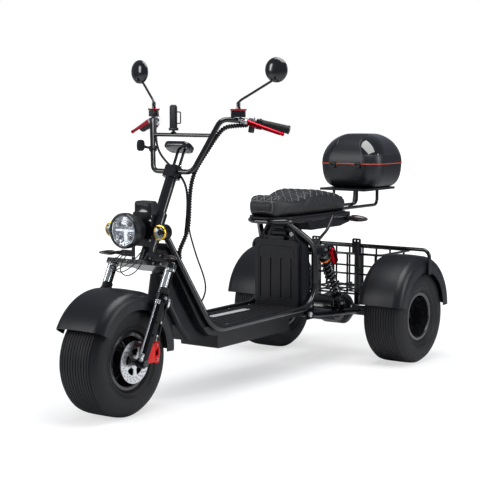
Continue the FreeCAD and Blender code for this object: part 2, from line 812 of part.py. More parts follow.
# Fog lamps: short cans with a ring in front
fog = new_body("fog")
fog_section = sketch_on(fog, "XY_Plane")
trace(fog_section, [(0, 0), (fog_radius - 7, 0), (fog_radius - 5, -8, 1), (fog_radius, -8, 2),
                    (fog_radius, 44, 6),
                    (14, 56, 4), (0, 56)])
revolve(fog, fog_section, "V_Axis")
on_vehicle(pair("fog_lamps", [moved(fog, fog_spread, lamp_y + 71, lamp_z - 5)]), "fog_lamps")

# Lamp bracket: a plate that rises from the crown, arms to the fog lamps and the plain nose box on top
bracket = new_body("bracket")
bracket_back = lamp_y + bowl_depth + seat_gap + bracket_wall
arm_reach = fog_spread - fog_radius - seat_gap
plate = sketch_on(bracket, "XZ_Plane", -bracket_back)
bracket_foot = crown_z + 2
signal_z = crown_z + 32.5
arm_low, arm_high = lamp_z - 23, lamp_z + 13
nose_z = lamp_z + 83
half_plate = [(40, bracket_foot), (54, bracket_foot), (54, signal_z - 13), (signal_x, signal_z - 13, 4),
              (signal_x, signal_z + 13, 4),
              (54, signal_z + 13), (51, arm_low), (arm_reach, arm_low, 4), (arm_reach, arm_high, 4),
              (49, arm_high),
              (46, nose_z - 14, 10)]
arch_z = signal_z + 33
other_half = [(-corner[0], *corner[1:]) for corner in reversed(half_plate)]
trace(plate, [(40, arch_z, 8), *half_plate, *other_half, (-40, arch_z, 8)])
pad(bracket, plate, bracket_wall)
on_vehicle(bracket, "lamp_bracket")
nose_depth = 44
nose = new_body("nose")
nose_outline = sketch_on(nose, "XZ_Plane")
trace(nose_outline, rectangle(-44, -30, 44, 30, 14))
pad(nose, nose_outline, nose_depth)
on_vehicle(together("nose_box", [moved(nose, 0, bracket_back + seat_gap + nose_depth, nose_z)]), "nose_box")

# Front turn signals: tapered pods on stubs beside the crown
signal = new_body("signal")
signal_section = sketch_on(signal, "XZ_Plane")
trace(signal_section, [(0, 0), (7, 0), (7, 18, 4), (19, 34, 18), (15, 78, 20), (0, 98)])
revolve(signal, signal_section, "V_Axis")
signal.Placement = FreeCAD.Placement(V(signal_x + 1.52, bracket_back - 3, signal_z),
                                     FreeCAD.Rotation(V(0, 0, 1), V(1, -0.4, -0.02)))
on_vehicle(pair("front_turn_signals", [signal]), "front_turn_signals")


# Fenders: one hoop section turned about an axis across the vehicle
def make_fender(name, outer, fender_half, start, sweep):
    body = new_body(name)
    section = sketch_on(body, "XY_Plane")
    inner = outer - fender_wall
    trace(section, [
        (-fender_half, fender_skirt), (-fender_half, outer - 6, 42), (0, outer, 700),
        (fender_half, outer - 6, 42),
        (fender_half, fender_skirt), (fender_half - fender_wall, fender_skirt),
        (fender_half - fender_wall, inner - 6, 39),
        (0, inner, 697), (-fender_half + fender_wall, inner - 6, 39),
        (-fender_half + fender_wall, fender_skirt)])
    revolve(body, section, "H_Axis", sweep)
    body.Placement.Rotation = FreeCAD.Rotation(V(1, 0, 0), start)
    return body


front_fender = make_fender("front_fender_shell", fender_radius, fender_half, -3, 155)
moved(front_fender, 0, fender_shift, fender_stand, front_fender.Placement.Rotation)
tab_at = fork_point(fender_half - 1, 3.5, leg_top - 45)
fender_tab = block("fender_tab", tab_at - V(0, 14, 13),
                   V(leg_inner - seat_gap, tab_at.y + 14, tab_at.z + 13))
on_vehicle(fused("front_fender_whole", [front_fender, fender_tab, mirrored(fender_tab)]), "front_fender")
rear_fender = make_fender("rear_fender_shell", rear_fender_radius, rear_fender_half, 1, 170)
moved(rear_fender, rear_track_half + rear_fender_shift, wheelbase, rear_fender_stand,
      rear_fender.Placement.Rotation)
on_vehicle(pair("rear_fenders", [rear_fender]), "rear_fenders")

# Front caliper over the disc, carried by the left leg
cheek_wall, side_gap = 12, 0.4
caliper = new_body("caliper")
caliper_out = leg_spread - 4
caliper_side = sketch_on(caliper, "YZ_Plane", disc_offset - side_gap)
caliper_back = disc_radius - 13
trace(caliper_side, [(caliper_back, 20, 7), (caliper_back + 40, 20, 9), (caliper_back + 36, 58, 30),
                     (caliper_back + 44, 104, 9),
                     (caliper_back + 4, 106, 7), (caliper_back - 2, 62, 20)])
pad(caliper, caliper_side, caliper_out - disc_offset + side_gap)
cheek = sketch_on(caliper, "YZ_Plane", disc_offset - cheek_wall)
trace(cheek, [(caliper_back + 2, 26, 6), (caliper_back + 24, 26, 6), (caliper_back + 22, 60, 6),
              (caliper_back, 60, 6)])
pad(caliper, cheek, cheek_wall)
caliper_arm = sketch_on(caliper, "YZ_Plane", leg_spread - 6)
trace(caliper_arm, [(leg_back + seat_gap, 34), (caliper_back + 6, 34), (caliper_back + 6, 92),
                    (leg_back + seat_gap, 78)])
pad(caliper, caliper_arm, 10)
caliper_slot = sketch_on(caliper, "YZ_Plane", disc_offset + disc_wall / 2)
circle_in(caliper_slot, 0, 0, disc_radius + 4)
pocket(caliper, caliper_slot, disc_wall + 6)
on_fork(caliper, "front_caliper")

# Frame: head tube, side rails that run down, along the floor and up behind the battery, and cross tubes
head_foot = fork_point(0, fork_lead, head_base)
head_end = fork_point(0, fork_lead, head_base + head_length)
head_outer = rod("head_outer", stem_radius + head_wall, head_foot, head_end)
beyond = (head_end - head_foot) * 0.01
head_bore = rod("head_bore", stem_radius + running_gap, head_foot - beyond, head_end + beyond)
rail_path = [(head_rail_x, rail_y - 4, rail_z + 6, 0), (rail_spread, floor_front, deck_height - 8, 110),
             (rail_spread, hoop_rear, deck_height + 2, 110), (rail_spread - 4, hoop_rear + 2, bend_z, 90),
             (rail_spread - 74, hoop_rear - 124, hoop_top, 0)]
rail = bent("rail", rail_path, rail_radius)
lug_end = loop_half - 14
cross_specs = [("cross_head", 10, V(head_rail_x, rail_y - 1, rail_z)),
               ("cross_back", 12, V(rail_spread, hoop_rear, shock_top_z + 4)),
               ("cross_top", 11, V(lug_end, hoop_rear - 120, hoop_top + 5))]
crosses = [rod(name, radius, V(-end.x, end.y, end.z), end) for name, radius, end in cross_specs]
shock_top = V(shock_x, wheelbase - shock_back - shock_lean, shock_top_z)
shock_foot = V(shock_x, wheelbase - shock_back, shock_foot_z)
lug_faces = (shock_x - eye_half - seat_gap - lug_wall, shock_x + eye_half + seat_gap)
for inner in lug_faces:
    crosses.append(block("shock_lug", V(inner, hoop_rear, shock_top_z - 18),
                         V(inner + lug_wall, shock_top.y + 18, shock_top_z + 18)))
    crosses.append(mirrored(crosses[-1]))
pivot_z = deck_height - pivot_drop
pivot_lug = block("pivot_lug", V(rail_spread - lug_wall, hoop_rear - 60, pivot_z - 22),
                  V(rail_spread + 2, hoop_rear - 8, deck_height + 34))
stay_tube_small = 7
stay_end = loop_half + seat_tube + stay_tube_small + 0.4
seat_stay = bent("seat_stay", [(stay_end, seat_rear - 156, seat_base - 10, 0),
                               (rail_spread - 8, hoop_rear + 124, seat_base - 66, 200),
                               (rail_spread - 4, hoop_rear + 4, bend_z - 2, 0)], stay_tube_small)
crosses.extend([pivot_lug, mirrored(pivot_lug), seat_stay, mirrored(seat_stay)])
gusset = rod("gusset", 16, fork_point(0, fork_lead + stem_radius + head_wall - 4, head_base + 118),
             V(0, rail_y, rail_z))
frame_whole = fused("frame_whole", [head_outer, rail, mirrored(rail), *crosses, gusset])
on_vehicle(cut_from("frame_cut", frame_whole, head_bore), "frame")
rail_room = bent("rail_room", rail_path, rail_radius + seat_gap)
rails_room = together("rails_room", [rail_room, mirrored(rail_room)])

# Floor pan: leg shield and floor in one bent slab that tapers to the head, with a keel below
pan = new_body("pan")
side = sketch_on(pan, "YZ_Plane")
pan_half = rail_spread - rail_radius - 2
pan_rear = hoop_rear - 62
trace(side, [(rail_y + 21, rail_z - 29), (floor_front, deck_height, 110), (pan_rear, deck_height),
             (pan_rear, deck_height - deck_wall),
             (floor_front - 40, deck_height - deck_wall, 120), (rail_y - 4, rail_z - 54)])
pad(pan, side, pan_half * 2, both_ways=True)
taper = sketch_on(pan, "XZ_Plane")
taper_foot, taper_top = deck_height + 10, rail_z + 66
trace(taper, [(pan_half + 30, taper_foot), (pan_half + 30, taper_top), (1, taper_top),
              (pan_half - 5, taper_foot)])
trace(taper, [(-pan_half - 30, taper_foot), (-pan_half + 5, taper_foot), (-1, taper_top),
              (-pan_half - 30, taper_top)])
pocket(pan, taper, wheelbase * 2)


def keel_section(height, half_width, front, rear):
    """A slice of the keel, rounder in front than behind."""
    return trace(sketch_on(pan, "XY_Plane", height), [
        (-half_width, front, 22), (half_width, front, 22), (half_width, rear, 10), (-half_width, rear, 10)])


fender_reach = fender_radius + fender_shift
keel_levels = [(deck_height - 38, 112, fender_reach + 84, floor_front + 90),
               (deck_height + 30, 92, fender_reach + 38, floor_front - 30),
               (deck_height + 140, 54, fender_reach + 4, floor_front - 80),
               (rail_z - 154, 30, rail_y - 42, rail_y + 46)]
loft(pan, [keel_section(*level) for level in keel_levels], ruled=True)
on_vehicle(cut_from("pan_cut", pan, rails_room), "floor_pan")

# Ribbed mat on the floor
mat_wall, rib_count, rib_inset = 3, 9, 14
mat = new_body("mat")
mat_base = sketch_on(mat, "XY_Plane", deck_height + seat_gap)
mat_half = pan_half - 16
mat_front, mat_rear = floor_front + 78, battery_front - 16
trace(mat_base, rectangle(-mat_half, mat_front, mat_half, mat_rear, 12))
pad(mat, mat_base, mat_wall)
rib = sketch_on(mat, "XY_Plane", deck_height + seat_gap + mat_wall)
rib_half, rib_width = mat_half - 12, 8
trace(rib, rectangle(-rib_half, mat_front + rib_inset, -rib_half + rib_width, mat_rear - rib_inset))
in_line(mat, pad(mat, rib, mat_wall), "X_Axis", rib_half * 2 - rib_width, rib_count)
on_vehicle(mat, "floor_mat")

# Box under the floor
under = new_body("under")
under_side = sketch_on(under, "YZ_Plane")
under_top, under_base = deck_height - deck_wall - seat_gap, deck_height - 104
under_front, under_rear = floor_front + 98, hoop_rear - 134
trace(under_side, [(under_front, under_top), (under_front, under_base, 8), (under_rear, under_base + 4, 8),
                   (under_rear, under_top)])
pad(under, under_side, (rail_spread - 50) * 2, both_ways=True)
on_vehicle(under, "under_floor_box")

# Pillar between the hoops, with a recess for the lock, and the ribbed battery in front of it
pillar = new_body("pillar")
pillar_front = sketch_on(pillar, "XZ_Plane", -pillar_face)
pillar_half = rail_spread - rail_radius - seat_gap
pillar_foot = deck_height + seat_gap
shoulder, neck = rail_spread - 23, rail_spread - 88
trace(pillar_front, [(-pillar_half, pillar_foot, 10), (pillar_half, pillar_foot, 10),
                     (shoulder, bend_z - 2, 60),
                     (neck, hoop_top - 7, 16), (-neck, hoop_top - 7, 16), (-shoulder, bend_z - 2, 60)])
pad(pillar, pillar_front, hoop_rear - 12 - seat_gap - pillar_face, backwards=True)
recess = sketch_on(pillar, "XZ_Plane", -pillar_face)
recess_low, recess_high = battery_top + 16, battery_top + 64
trace(recess, [(-shoulder + 43, recess_low, 8), (shoulder - 43, recess_low, 8), (neck - 6, recess_high, 8),
               (-neck + 6, recess_high, 8)])
pocket(pillar, recess, 24)
on_vehicle(cut_from("pillar_cut", pillar, rails_room), "seat_pillar")
battery = new_body("battery")
battery_face = sketch_on(battery, "XZ_Plane", -battery_front)
trace(battery_face, [(-battery_half, pillar_foot, 12), (battery_half, pillar_foot, 12),
                     (battery_half, battery_top, 24),
                     (-battery_half, battery_top, 24)])
pad(battery, battery_face, battery_depth - seat_gap, backwards=True)
groove = sketch_on(battery, "XZ_Plane", -battery_front)
groove_half, groove_width = battery_half - 28, 9
groove_cut, groove_count = 8, 4
groove_low, groove_high = pillar_foot + 40, battery_top - 84
trace(groove, rectangle(-groove_half, groove_low, -groove_half + groove_width, groove_high, 4))
in_line(battery, pocket(battery, groove, groove_cut), "X_Axis", groove_half * 2 - groove_width, groove_count)
on_vehicle(battery, "battery_box")

# Seat rail: a loop of tube round the seat's base
seat_loop = new_body("seat_loop")
loop_path = sketch_on(seat_loop, "XY_Plane", seat_base - seat_tube)
loop_bend, loop_nose = seat_front + 82, loop_half - 60
trace(loop_path, [(-loop_half, seat_rear), (-loop_half, loop_bend, 70), (-loop_nose, seat_front + 18, 50),
                  (loop_nose, seat_front + 18, 50), (loop_half, loop_bend, 70), (loop_half, seat_rear)],
                  closed=False)
loop_ring = seat_loop.newObject("Sketcher::SketchObject", "loop_ring")
loop_ring.AttachmentSupport = [(loop_path, "Edge1")]
loop_ring.MapMode = "NormalToEdge"
circle_in(loop_ring, 0, 0, seat_tube)
loop_pipe = seat_loop.newObject("PartDesign::AdditivePipe", "loop_pipe")
loop_pipe.Profile = loop_ring
doc.recompute()
loop_pipe.Spine = (loop_path, [f"Edge{i + 1}" for i in range(len(loop_path.Shape.Edges))])
on_vehicle(seat_loop, "seat_rail")

# Seat pan on the rail, and the cushion on the pan
pan_base = seat_base + seat_gap
cushion_base = pan_base + pan_wall + seat_gap
seat_pan = new_body("seat_pan_body")
pan_plan = sketch_on(seat_pan, "XY_Plane", pan_base)
pan_edge, pan_bend, pan_nose = loop_half + 4, loop_bend + 4, loop_nose + 4
trace(pan_plan, [(-pan_nose, seat_front + 8, 40), (pan_nose, seat_front + 8, 40), (pan_edge, pan_bend, 60),
                 (pan_edge, seat_rear, 24),
                 (-pan_edge, seat_rear, 24), (-pan_edge, pan_bend, 60)])
pad(seat_pan, pan_plan, pan_wall)
on_vehicle(seat_pan, "seat_pan")
cushion = new_body("cushion")
cushion_side = sketch_on(cushion, "YZ_Plane")
cushion_top = cushion_base + cushion_height
cushion_bend = seat_front + 176
trace(cushion_side, [(seat_front, cushion_base, 10), (seat_front - 4, cushion_top - 20, 26),
                     (seat_front + 50, cushion_top - 10, 60),
                     (seat_front + 150, cushion_top - 24, 90), (seat_rear - 260, cushion_top + 8, 140),
                     (seat_rear + 4, cushion_top - 34, 26), (seat_rear - 4, cushion_base, 8)])
pad(cushion, cushion_side, seat_half * 2, both_ways=True)
nose_cut = sketch_on(cushion, "XY_Plane", seat_base)
cut_half, cut_front = seat_half + 10, seat_front - 20
nose_half = loop_nose + 18
trace(nose_cut, [(cut_half, cut_front), (cut_half, cushion_bend), (seat_half, cushion_bend),
                 (nose_half, seat_front + 4),
                 (nose_half, cut_front)])
trace(nose_cut, [(-cut_half, cut_front), (-nose_half, cut_front), (-nose_half, seat_front + 4),
                 (-seat_half, cushion_bend),
                 (-cut_half, cushion_bend)])
pocket(cushion, nose_cut, seat_base)
on_vehicle(cushion, "seat_cushion")

# Tray below the seat's rear
tray = new_body("tray")
tray_side = sketch_on(tray, "YZ_Plane")
tray_front, tray_rear = seat_rear - 328, seat_rear + 52
trace(tray_side, [(tray_front, seat_base - 26), (tray_front + 28, seat_base - 66, 10),
                  (tray_rear - 92, seat_base - 64, 10),
                  (tray_rear - 2, seat_base - 48, 10), (tray_rear, seat_base), (tray_front, seat_base)])
pad(tray, tray_side, tray_half * 2, both_ways=True)
on_vehicle(tray, "under_seat_tray")

# Swing arm: two tubes from the frame's pivot to the axle, joined by a cross tube
pivot_y = hoop_rear - 34
arm_radius, arm_cross_radius, pivot_radius = 15, 12, 14
arm_bend = wheelbase - 276
arm_bend_z = tyre_radius + 19
arm_tube = bent("arm_tube", [(shock_x, pivot_y, pivot_z - 2, 0), (shock_x, arm_bend, arm_bend_z, 200),
                             (shock_x, wheelbase - 24 - seat_gap, tyre_radius, 0)], arm_radius)
arm_cross = rod("arm_cross", arm_cross_radius, V(-shock_x, arm_bend + 16, arm_bend_z - 1),
                V(shock_x, arm_bend + 16, arm_bend_z - 1))
pivot_reach = rail_spread - lug_wall - seat_gap
pivot = rod("pivot", pivot_radius, V(-pivot_reach, pivot_y, pivot_z), V(pivot_reach, pivot_y, pivot_z))
foot_lugs = [block("foot_web", V(shock_x - 19, shock_foot.y - 17, tyre_radius + 11),
                   V(shock_x + 19, shock_foot.y + 17, tyre_radius + 23))]
foot_lugs.append(mirrored(foot_lugs[0]))
for inner in lug_faces:
    foot_lugs.append(block("foot_lug", V(inner, shock_foot.y - 19, tyre_radius + 9),
                           V(inner + lug_wall, shock_foot.y + 19, shock_foot_z + 17)))
    foot_lugs.append(mirrored(foot_lugs[-1]))
on_vehicle(fused("swing_whole", [arm_tube, mirrored(arm_tube), arm_cross, pivot, *foot_lugs]), "swing_arm")

# Rear axle: side tubes, the rounded final-drive case in the middle and a motor ahead of it
final_drive = new_body("final_drive")
drive_section = sketch_on(final_drive, "XY_Plane")
tube_end = rear_track_half - rim_half + 8
shaft_end = rear_track_half + 34
axle_tube = 24
half_drive = [(shaft_end, 0), (shaft_end, axle_radius), (tube_end, axle_radius), (tube_end, axle_tube),
              (100, axle_tube, 16), (58, 74, 24)]
trace(drive_section, half_drive + [(-c[0], *c[1:]) for c in reversed(half_drive)])
revolve(final_drive, drive_section, "H_Axis")
moved(final_drive, 0, wheelbase, tyre_radius)
motor_y, motor_z = wheelbase - 98, tyre_radius + 16
motor = rod("motor", 64, V(-78, motor_y, motor_z), V(78, motor_y, motor_z))
motor_cap = rod("motor_cap", 44, V(-92, motor_y, motor_z), V(92, motor_y, motor_z))
on_vehicle(fused("axle_whole", [final_drive, motor, motor_cap]), "rear_axle")

# Shocks: damper with two eyes, a coil round it and a fluid bottle beside it
shock_line = shock_foot - shock_top
shock_length = shock_line.Length
shock_turn = FreeCAD.Rotation(V(0, 0, 1), -1 * shock_line)
damper = new_body("damper")
damper_section = sketch_on(damper, "XZ_Plane")
seat_low, seat_high = 50, shock_length - 57
rod_end = (seat_low + seat_high) / 2
trace(damper_section, [(0, 12), (9, 12), (9, 40), (27, seat_low - 6, 2), (27, seat_low, 2),
                       (10, seat_low + 2), (10, rod_end),
                       (17, rod_end + 2), (17, seat_high - 2), (28, seat_high, 2), (28, seat_high + 10, 2),
                       (12, seat_high + 14, 3),
                       (12, shock_length - 13), (0, shock_length - 13)])
revolve(damper, damper_section, "V_Axis")
damper.Placement = FreeCAD.Placement(shock_foot, shock_turn)
eye_reach = V(eye_half, 0, 0)
eyes = [rod("eye", eye_radius, at - eye_reach, at + eye_reach) for at in (shock_top, shock_foot)]
on_vehicle(pair("shock_dampers", [fused("damper_whole", [damper, *eyes])]), "shock_dampers")
coil_wire, coil_pitch, coil_radius, ring_step = 4.2, 24, 23.5, 60
coil_line = Part.makeHelix(coil_pitch, seat_high - seat_low - 2 * coil_wire - 2, coil_radius)
coil_at = coil_line.Edges[0].valueAt(coil_line.Edges[0].FirstParameter)
coil_ring = Part.makePolygon([coil_at + V(coil_wire * cosd(angle), 0, coil_wire * sind(angle))
                              for angle in range(0, 361, ring_step)])
coil = Part.Wire(coil_line.Edges).makePipeShell([coil_ring], True, True)
coil_foot = shock_turn.multVec(V(0, 0, seat_low + coil_wire + seat_gap))
coil.Placement = FreeCAD.Placement(shock_foot + coil_foot, shock_turn)
on_vehicle(pair("shock_coils", [feature_of("coil", coil)]), "shock_coils")
shock_way = V(shock_line).normalize()
beside_shock = V(0, -shock_way.z, shock_way.y)
bottle_at = shock_foot - shock_way * (seat_high - 18) + beside_shock * (28 + bottle_radius + seat_gap)
bottle = rod("bottle", bottle_radius, bottle_at, bottle_at - shock_way * bottle_length)
on_vehicle(pair("shock_bottles", [bottle]), "shock_bottles")

# Cross tube over the rear wheels, its ends bent down beside the fenders, and two drilled plates on posts
stay_x = rear_track_half + rear_fender_shift + rear_fender_half + stay_radius + seat_gap
stay_tube = tube_shape(both_sides([(stay_x, tube_y, tube_z, 36), (stay_x, tube_y, tube_z - 116, 0)]),
                       stay_radius)
post_foot = tyre_radius + axle_tube + seat_gap
post = Part.makeBox(2 * post_half, 2 * post_half, tube_z - 1 - post_foot,
                    V(post_spread - post_half, tube_y - post_half, post_foot))
posts = post.fuse(post.mirror(V(0, 0, 0), V(1, 0, 0)))
on_vehicle(feature_of("cross_shape", stay_tube.fuse(posts)), "rear_cross_tube")
ear_hole_radius = 4.5
ear = new_body("ear")
ear_back = tube_y - post_half - seat_gap
ear_face = sketch_on(ear, "XZ_Plane", -ear_back)
ear_low, ear_high, ear_half = tube_z - 40, tube_z + 35, 24
trace(ear_face, [(post_spread - ear_half, ear_low, 4), (post_spread + ear_half, ear_low, 4),
                 (post_spread + ear_half, ear_high, 8), (post_spread - ear_half, ear_high, 8)])
pad(ear, ear_face, 5)
ear_hole = sketch_on(ear, "XZ_Plane", -ear_back)
for ear_side in (-1, 1):
    circle_in(ear_hole, post_spread + ear_side * 9, tube_z + 23, ear_hole_radius)
pocket(ear, ear_hole, 40)
on_vehicle(pair("mount_ears", [ear]), "mount_ears")

# Cargo basket of welded wire
basket_front = tube_y + post_half + seat_gap + wire_radius + 1
basket_rear = basket_front + basket_depth


def basket_wires(place, uprights):
    """One panel of the basket: a rail at three heights and the uprights welded to their inner side."""
    middle_z = (basket_floor + basket_top) / 2
    rails = [place(basket_floor, wire_radius), place(middle_z, wire_radius),
             place(basket_top, wire_radius + 1)]
    posts = [rod("basket_upright", wire_radius, V(x, y, basket_floor), V(x, y, basket_top))
             for x, y in uprights]
    return fused("basket_panel", rails + posts)


corner_radius, corner_end = 24, 26
lap = wire_radius * 1.4
bar_shares, side_shares = (-0.85, -0.51, -0.17, 0.17, 0.51, 0.85), (0.2, 0.5, 0.8)
panels = []
for end, inward in ((basket_front, 1), (basket_rear, -1)):
    def end_rail(z, radius):
        """The front or the rear rail, bent round both corners."""
        tip = end + inward * corner_end
        return bent("basket_end_rail", [(-basket_half, tip, z, 0), (-basket_half, end, z, corner_radius),
                                        (basket_half, end, z, corner_radius), (basket_half, tip, z, 0)],
                                        radius)

    panels.append(basket_wires(end_rail, [(basket_half * share, end + inward * lap)
                                          for share in bar_shares]))
side_front, side_rear = basket_front + corner_end + seat_gap, basket_rear - corner_end - seat_gap
for side in (-1, 1):
    def side_rail(z, radius):
        """A side rail between the bent ends of the front and the rear one."""
        return rod("basket_side_rail", radius, V(side * basket_half, side_front, z),
                   V(side * basket_half, side_rear, z))

    panels.append(basket_wires(side_rail, [(side * (basket_half - lap), basket_front + basket_depth * share)
                                           for share in side_shares]))
floor_z = basket_floor + 2 * wire_radius + seat_gap
cross_half = basket_half * bar_shares[-1]
floor_wires = []
for share in bar_shares:
    x = basket_half * share - math.copysign(2 * wire_radius + seat_gap, share)
    floor_wires.append(rod("basket_floor_bar", wire_radius, V(x, basket_front, floor_z),
                           V(x, basket_rear, floor_z)))
for share in side_shares:
    y = basket_front + basket_depth * share
    floor_wires.append(rod("basket_floor_wire", wire_radius - 1, V(-cross_half, y, floor_z - lap),
                           V(cross_half, y, floor_z - lap)))
panels.append(fused("basket_floor", floor_wires))
on_vehicle(together("basket_box", panels), "cargo_basket")

# Rear turn signals and the tail lamp at the end of the tray
tail_signal = new_body("tail_signal")
tail_section = sketch_on(tail_signal, "XZ_Plane")
trace(tail_section, [(0, 0), (7, 0), (7, 16, 4), (17, 30, 16), (13, 68, 18), (0, 84)])
revolve(tail_signal, tail_section, "V_Axis")
tail_signal.Placement = FreeCAD.Placement(V(tray_half + seat_gap + 1.6, tray_rear - 40, seat_base - 32),
                                          FreeCAD.Rotation(V(0, 0, 1), V(1, 0.2, -0.06)))
on_vehicle(pair("rear_turn_signals", [tail_signal]), "rear_turn_signals")
tail = new_body("tail")
tail_face = sketch_on(tail, "XZ_Plane", -(tray_rear + seat_gap))
tail_low, tail_high = seat_base - 44, seat_base - 4
trace(tail_face, rectangle(-60, tail_low, 60, tail_high, 8))
pad(tail, tail_face, 22, backwards=True)
on_vehicle(tail, "tail_lamp")

# Rack that carries the top case
rack_x, rack_radius, strut_radius, rack_wall = 60, 8, 7, 12
rack_z = pan_base + pan_wall + seat_gap + 3
rack_base = case_base - rack_wall
rack_rear = case_y + 52
rack_tube = bent("rack_tube", [(rack_x, seat_rear + seat_gap, rack_z, 0), (rack_x, rack_rear, rack_z, 30),
                               (rack_x, rack_rear, rack_base, 0)], rack_radius)
rack_strut = bent("rack_strut", [(rack_x, case_y - 230, rack_z, 0), (rack_x, case_y - 178, rack_z + 20, 20),
                                 (rack_x, case_y - 168, rack_base, 0)], strut_radius)
rack_plate = block("rack_plate", V(-130, case_y - 190, rack_base),
                   V(130, case_y + 110, case_base - seat_gap))
on_vehicle(fused("rack_whole", [rack_tube, mirrored(rack_tube), rack_strut, mirrored(rack_strut),
                                rack_plate]), "case_rack")


# Top case: a tub and a lid, lofted through rounded rectangles and hollowed by smaller ones
def case_section(body, z, half_x, half_y, radius):
    """A rounded rectangle of the case at one height."""
    return trace(sketch_on(body, "XY_Plane", z),
                 rectangle(-half_x, case_y - half_y, half_x, case_y + half_y, radius))


def hollow_form(name, levels, inner_levels):
    body = new_body(name)
    loft(body, [case_section(body, *level) for level in levels])
    loft(body, [case_section(body, *level) for level in inner_levels], cut=True)
    return body


hw, hd = case_half_width, case_half_depth
tub_levels = [(case_base, hw - 60, hd - 50, 50), (case_base + 22, hw - 26, hd - 20, 70),
              (case_seam - 50, hw - 5, hd - 4, 84),
              (case_seam, hw, hd, 88)]
tub_inner = [(case_base + 6, hw - 62, hd - 52, 48), (case_base + 26, hw - 32, hd - 26, 64),
             (case_seam - 50, hw - 5 - case_wall, hd - 4 - case_wall, 80),
             (case_seam + 1, hw - case_wall, hd - case_wall, 84)]
hinge_y = case_y - hd - 6
hinge_z = case_seam + seat_gap / 2
hinge_parts, lid_parts = [], []
pin_radius, knuckle_radius = 2, 5
hinge_x, knuckle_width, lid_knuckle_half, leaf_height = 72, 10, 6.7, 8
for side in (-1, 1):
    middle = side * hinge_x
    hinge_parts.append(rod("hinge_pin", pin_radius, V(middle - 17, hinge_y, hinge_z),
                           V(middle + 17, hinge_y, hinge_z)))
    for start in (middle - 17, middle + 7):
        hinge_parts.append(rod("tub_knuckle", knuckle_radius, V(start, hinge_y, hinge_z),
                               V(start + knuckle_width, hinge_y, hinge_z)))
        hinge_parts.append(block("tub_leaf", V(start, hinge_y, case_seam - leaf_height),
                                 V(start + knuckle_width, hinge_y + leaf_height, case_seam - 0.5)))
    lid_parts.append(rod("lid_knuckle", knuckle_radius, V(middle - lid_knuckle_half, hinge_y, hinge_z),
                         V(middle + lid_knuckle_half, hinge_y, hinge_z)))
    lid_parts.append(block("lid_leaf", V(middle - lid_knuckle_half, hinge_y, case_seam + seat_gap + 0.5),
                           V(middle + lid_knuckle_half, hinge_y + leaf_height, case_seam + leaf_height)))
on_vehicle(fused("tub_whole", [hollow_form("tub_form", tub_levels, tub_inner), *hinge_parts]), "case_tub")
lid_base = case_seam + seat_gap
top_in = case_wall + 2
lid_levels = [(lid_base, hw, hd, 88), (case_seam + 50, hw - 7, hd - 7, 86),
              (case_top - 42, hw - 34, hd - 33, 84),
              (case_top - 13, hw - 72, hd - 66, 66), (case_top, hw - 110, hd - 102, 42)]
lid_inner = [(lid_base - 1, hw - case_wall, hd - case_wall, 84),
             (case_seam + 50, hw - 7 - case_wall, hd - 7 - case_wall, 82),
             (case_top - 42 - case_wall, hw - 34 - top_in, hd - 33 - top_in, 78),
             (case_top - 13 - top_in, hw - 72 - top_in, hd - 66 - top_in, 60),
             (case_top - top_in, hw - 110 - top_in, hd - 102 - top_in, 36)]
lid_whole = fused("lid_whole", [hollow_form("lid_form", lid_levels, lid_inner), *lid_parts])
pin_bore = rod("pin_bore", pin_radius + running_gap, V(-100, hinge_y, hinge_z), V(100, hinge_y, hinge_z))
on_vehicle(cut_from("lid_cut", lid_whole, pin_bore), "case_lid")

# Cable bundle: one stretch turns with the bar, the other runs on into the frame behind the head
joint_at = by_bar(70, 10, -120)
steer_way = V(0, sind(rake), cosd(rake))
upper_cable = [(*by_bar(212, 166, 192), 0), (*by_bar(196, 132, 146), 30), (*by_bar(166, 96, 84), 60),
               (*by_bar(118, 62, 14), 60),
               (*by_bar(70, 37, -67), 60), (*joint_at, 0)]
on_vehicle(bent("cable_upper", upper_cable, cable_radius), "handlebar_cables")
rail_start = V(*rail_path[0][:3])
rail_way = (V(*rail_path[1][:3]) - rail_start).normalize()
beside_rail = rail_way.cross(V(-1, 0, 0)).normalize() * (rail_radius + cable_radius + seat_gap)
clip_top = rail_start + rail_way * 40 + beside_rail
clip_end = rail_start + rail_way * 95 + beside_rail
lower_cable = [(*(joint_at - steer_way * seat_gap), 0), (*(joint_at - steer_way * 58), 60),
               (*by_bar(54, -40, -222), 60),
               (*clip_top, 60), (*clip_end, 0)]
on_vehicle(bent("cable_lower", lower_cable, cable_radius), "frame_cables")

# Horn on the front of the keel
horn_z, horn_radius, horn_wall, horn_stud_radius = deck_height + 135, 37, 22, 6
below, above = keel_levels[1], keel_levels[2]
keel_front = below[2] + (above[2] - below[2]) * (horn_z - below[0]) / (above[0] - below[0])
horn_y = keel_front - 29.5
horn = rod("horn_can", horn_radius, V(58, horn_y, horn_z), V(58, horn_y + horn_wall, horn_z))
horn_stud = rod("horn_stud", horn_stud_radius, V(26, horn_y + 12, horn_z),
                V(26, keel_front - seat_gap - 1.7, horn_z))
on_vehicle(fused("horn_whole", [horn, horn_stud]), "horn")

# Checks before anything is written
doc.recompute()
faults = []
for thing in doc.Objects:
    if "Invalid" in thing.State or "Error" in thing.State:
        faults.append(f"{thing.Label}: {thing.State}")
for thing in nodes:
    shape = thing.Shape
    if shape.isNull() or not shape.isValid() or not shape.Solids:
        faults.append(f"{thing.Label}: its shape is empty or not valid")
if faults:
    raise RuntimeError("; ".join(faults))

os.makedirs("parts", exist_ok=True)
for thing in nodes:
    thing.Shape.exportStep(os.path.join("parts", f"{thing.Label}.step"))
    print(f"{thing.Label}: {len(thing.Shape.Solids)} solids, {thing.Shape.Volume / 1000:.1f} cm3")
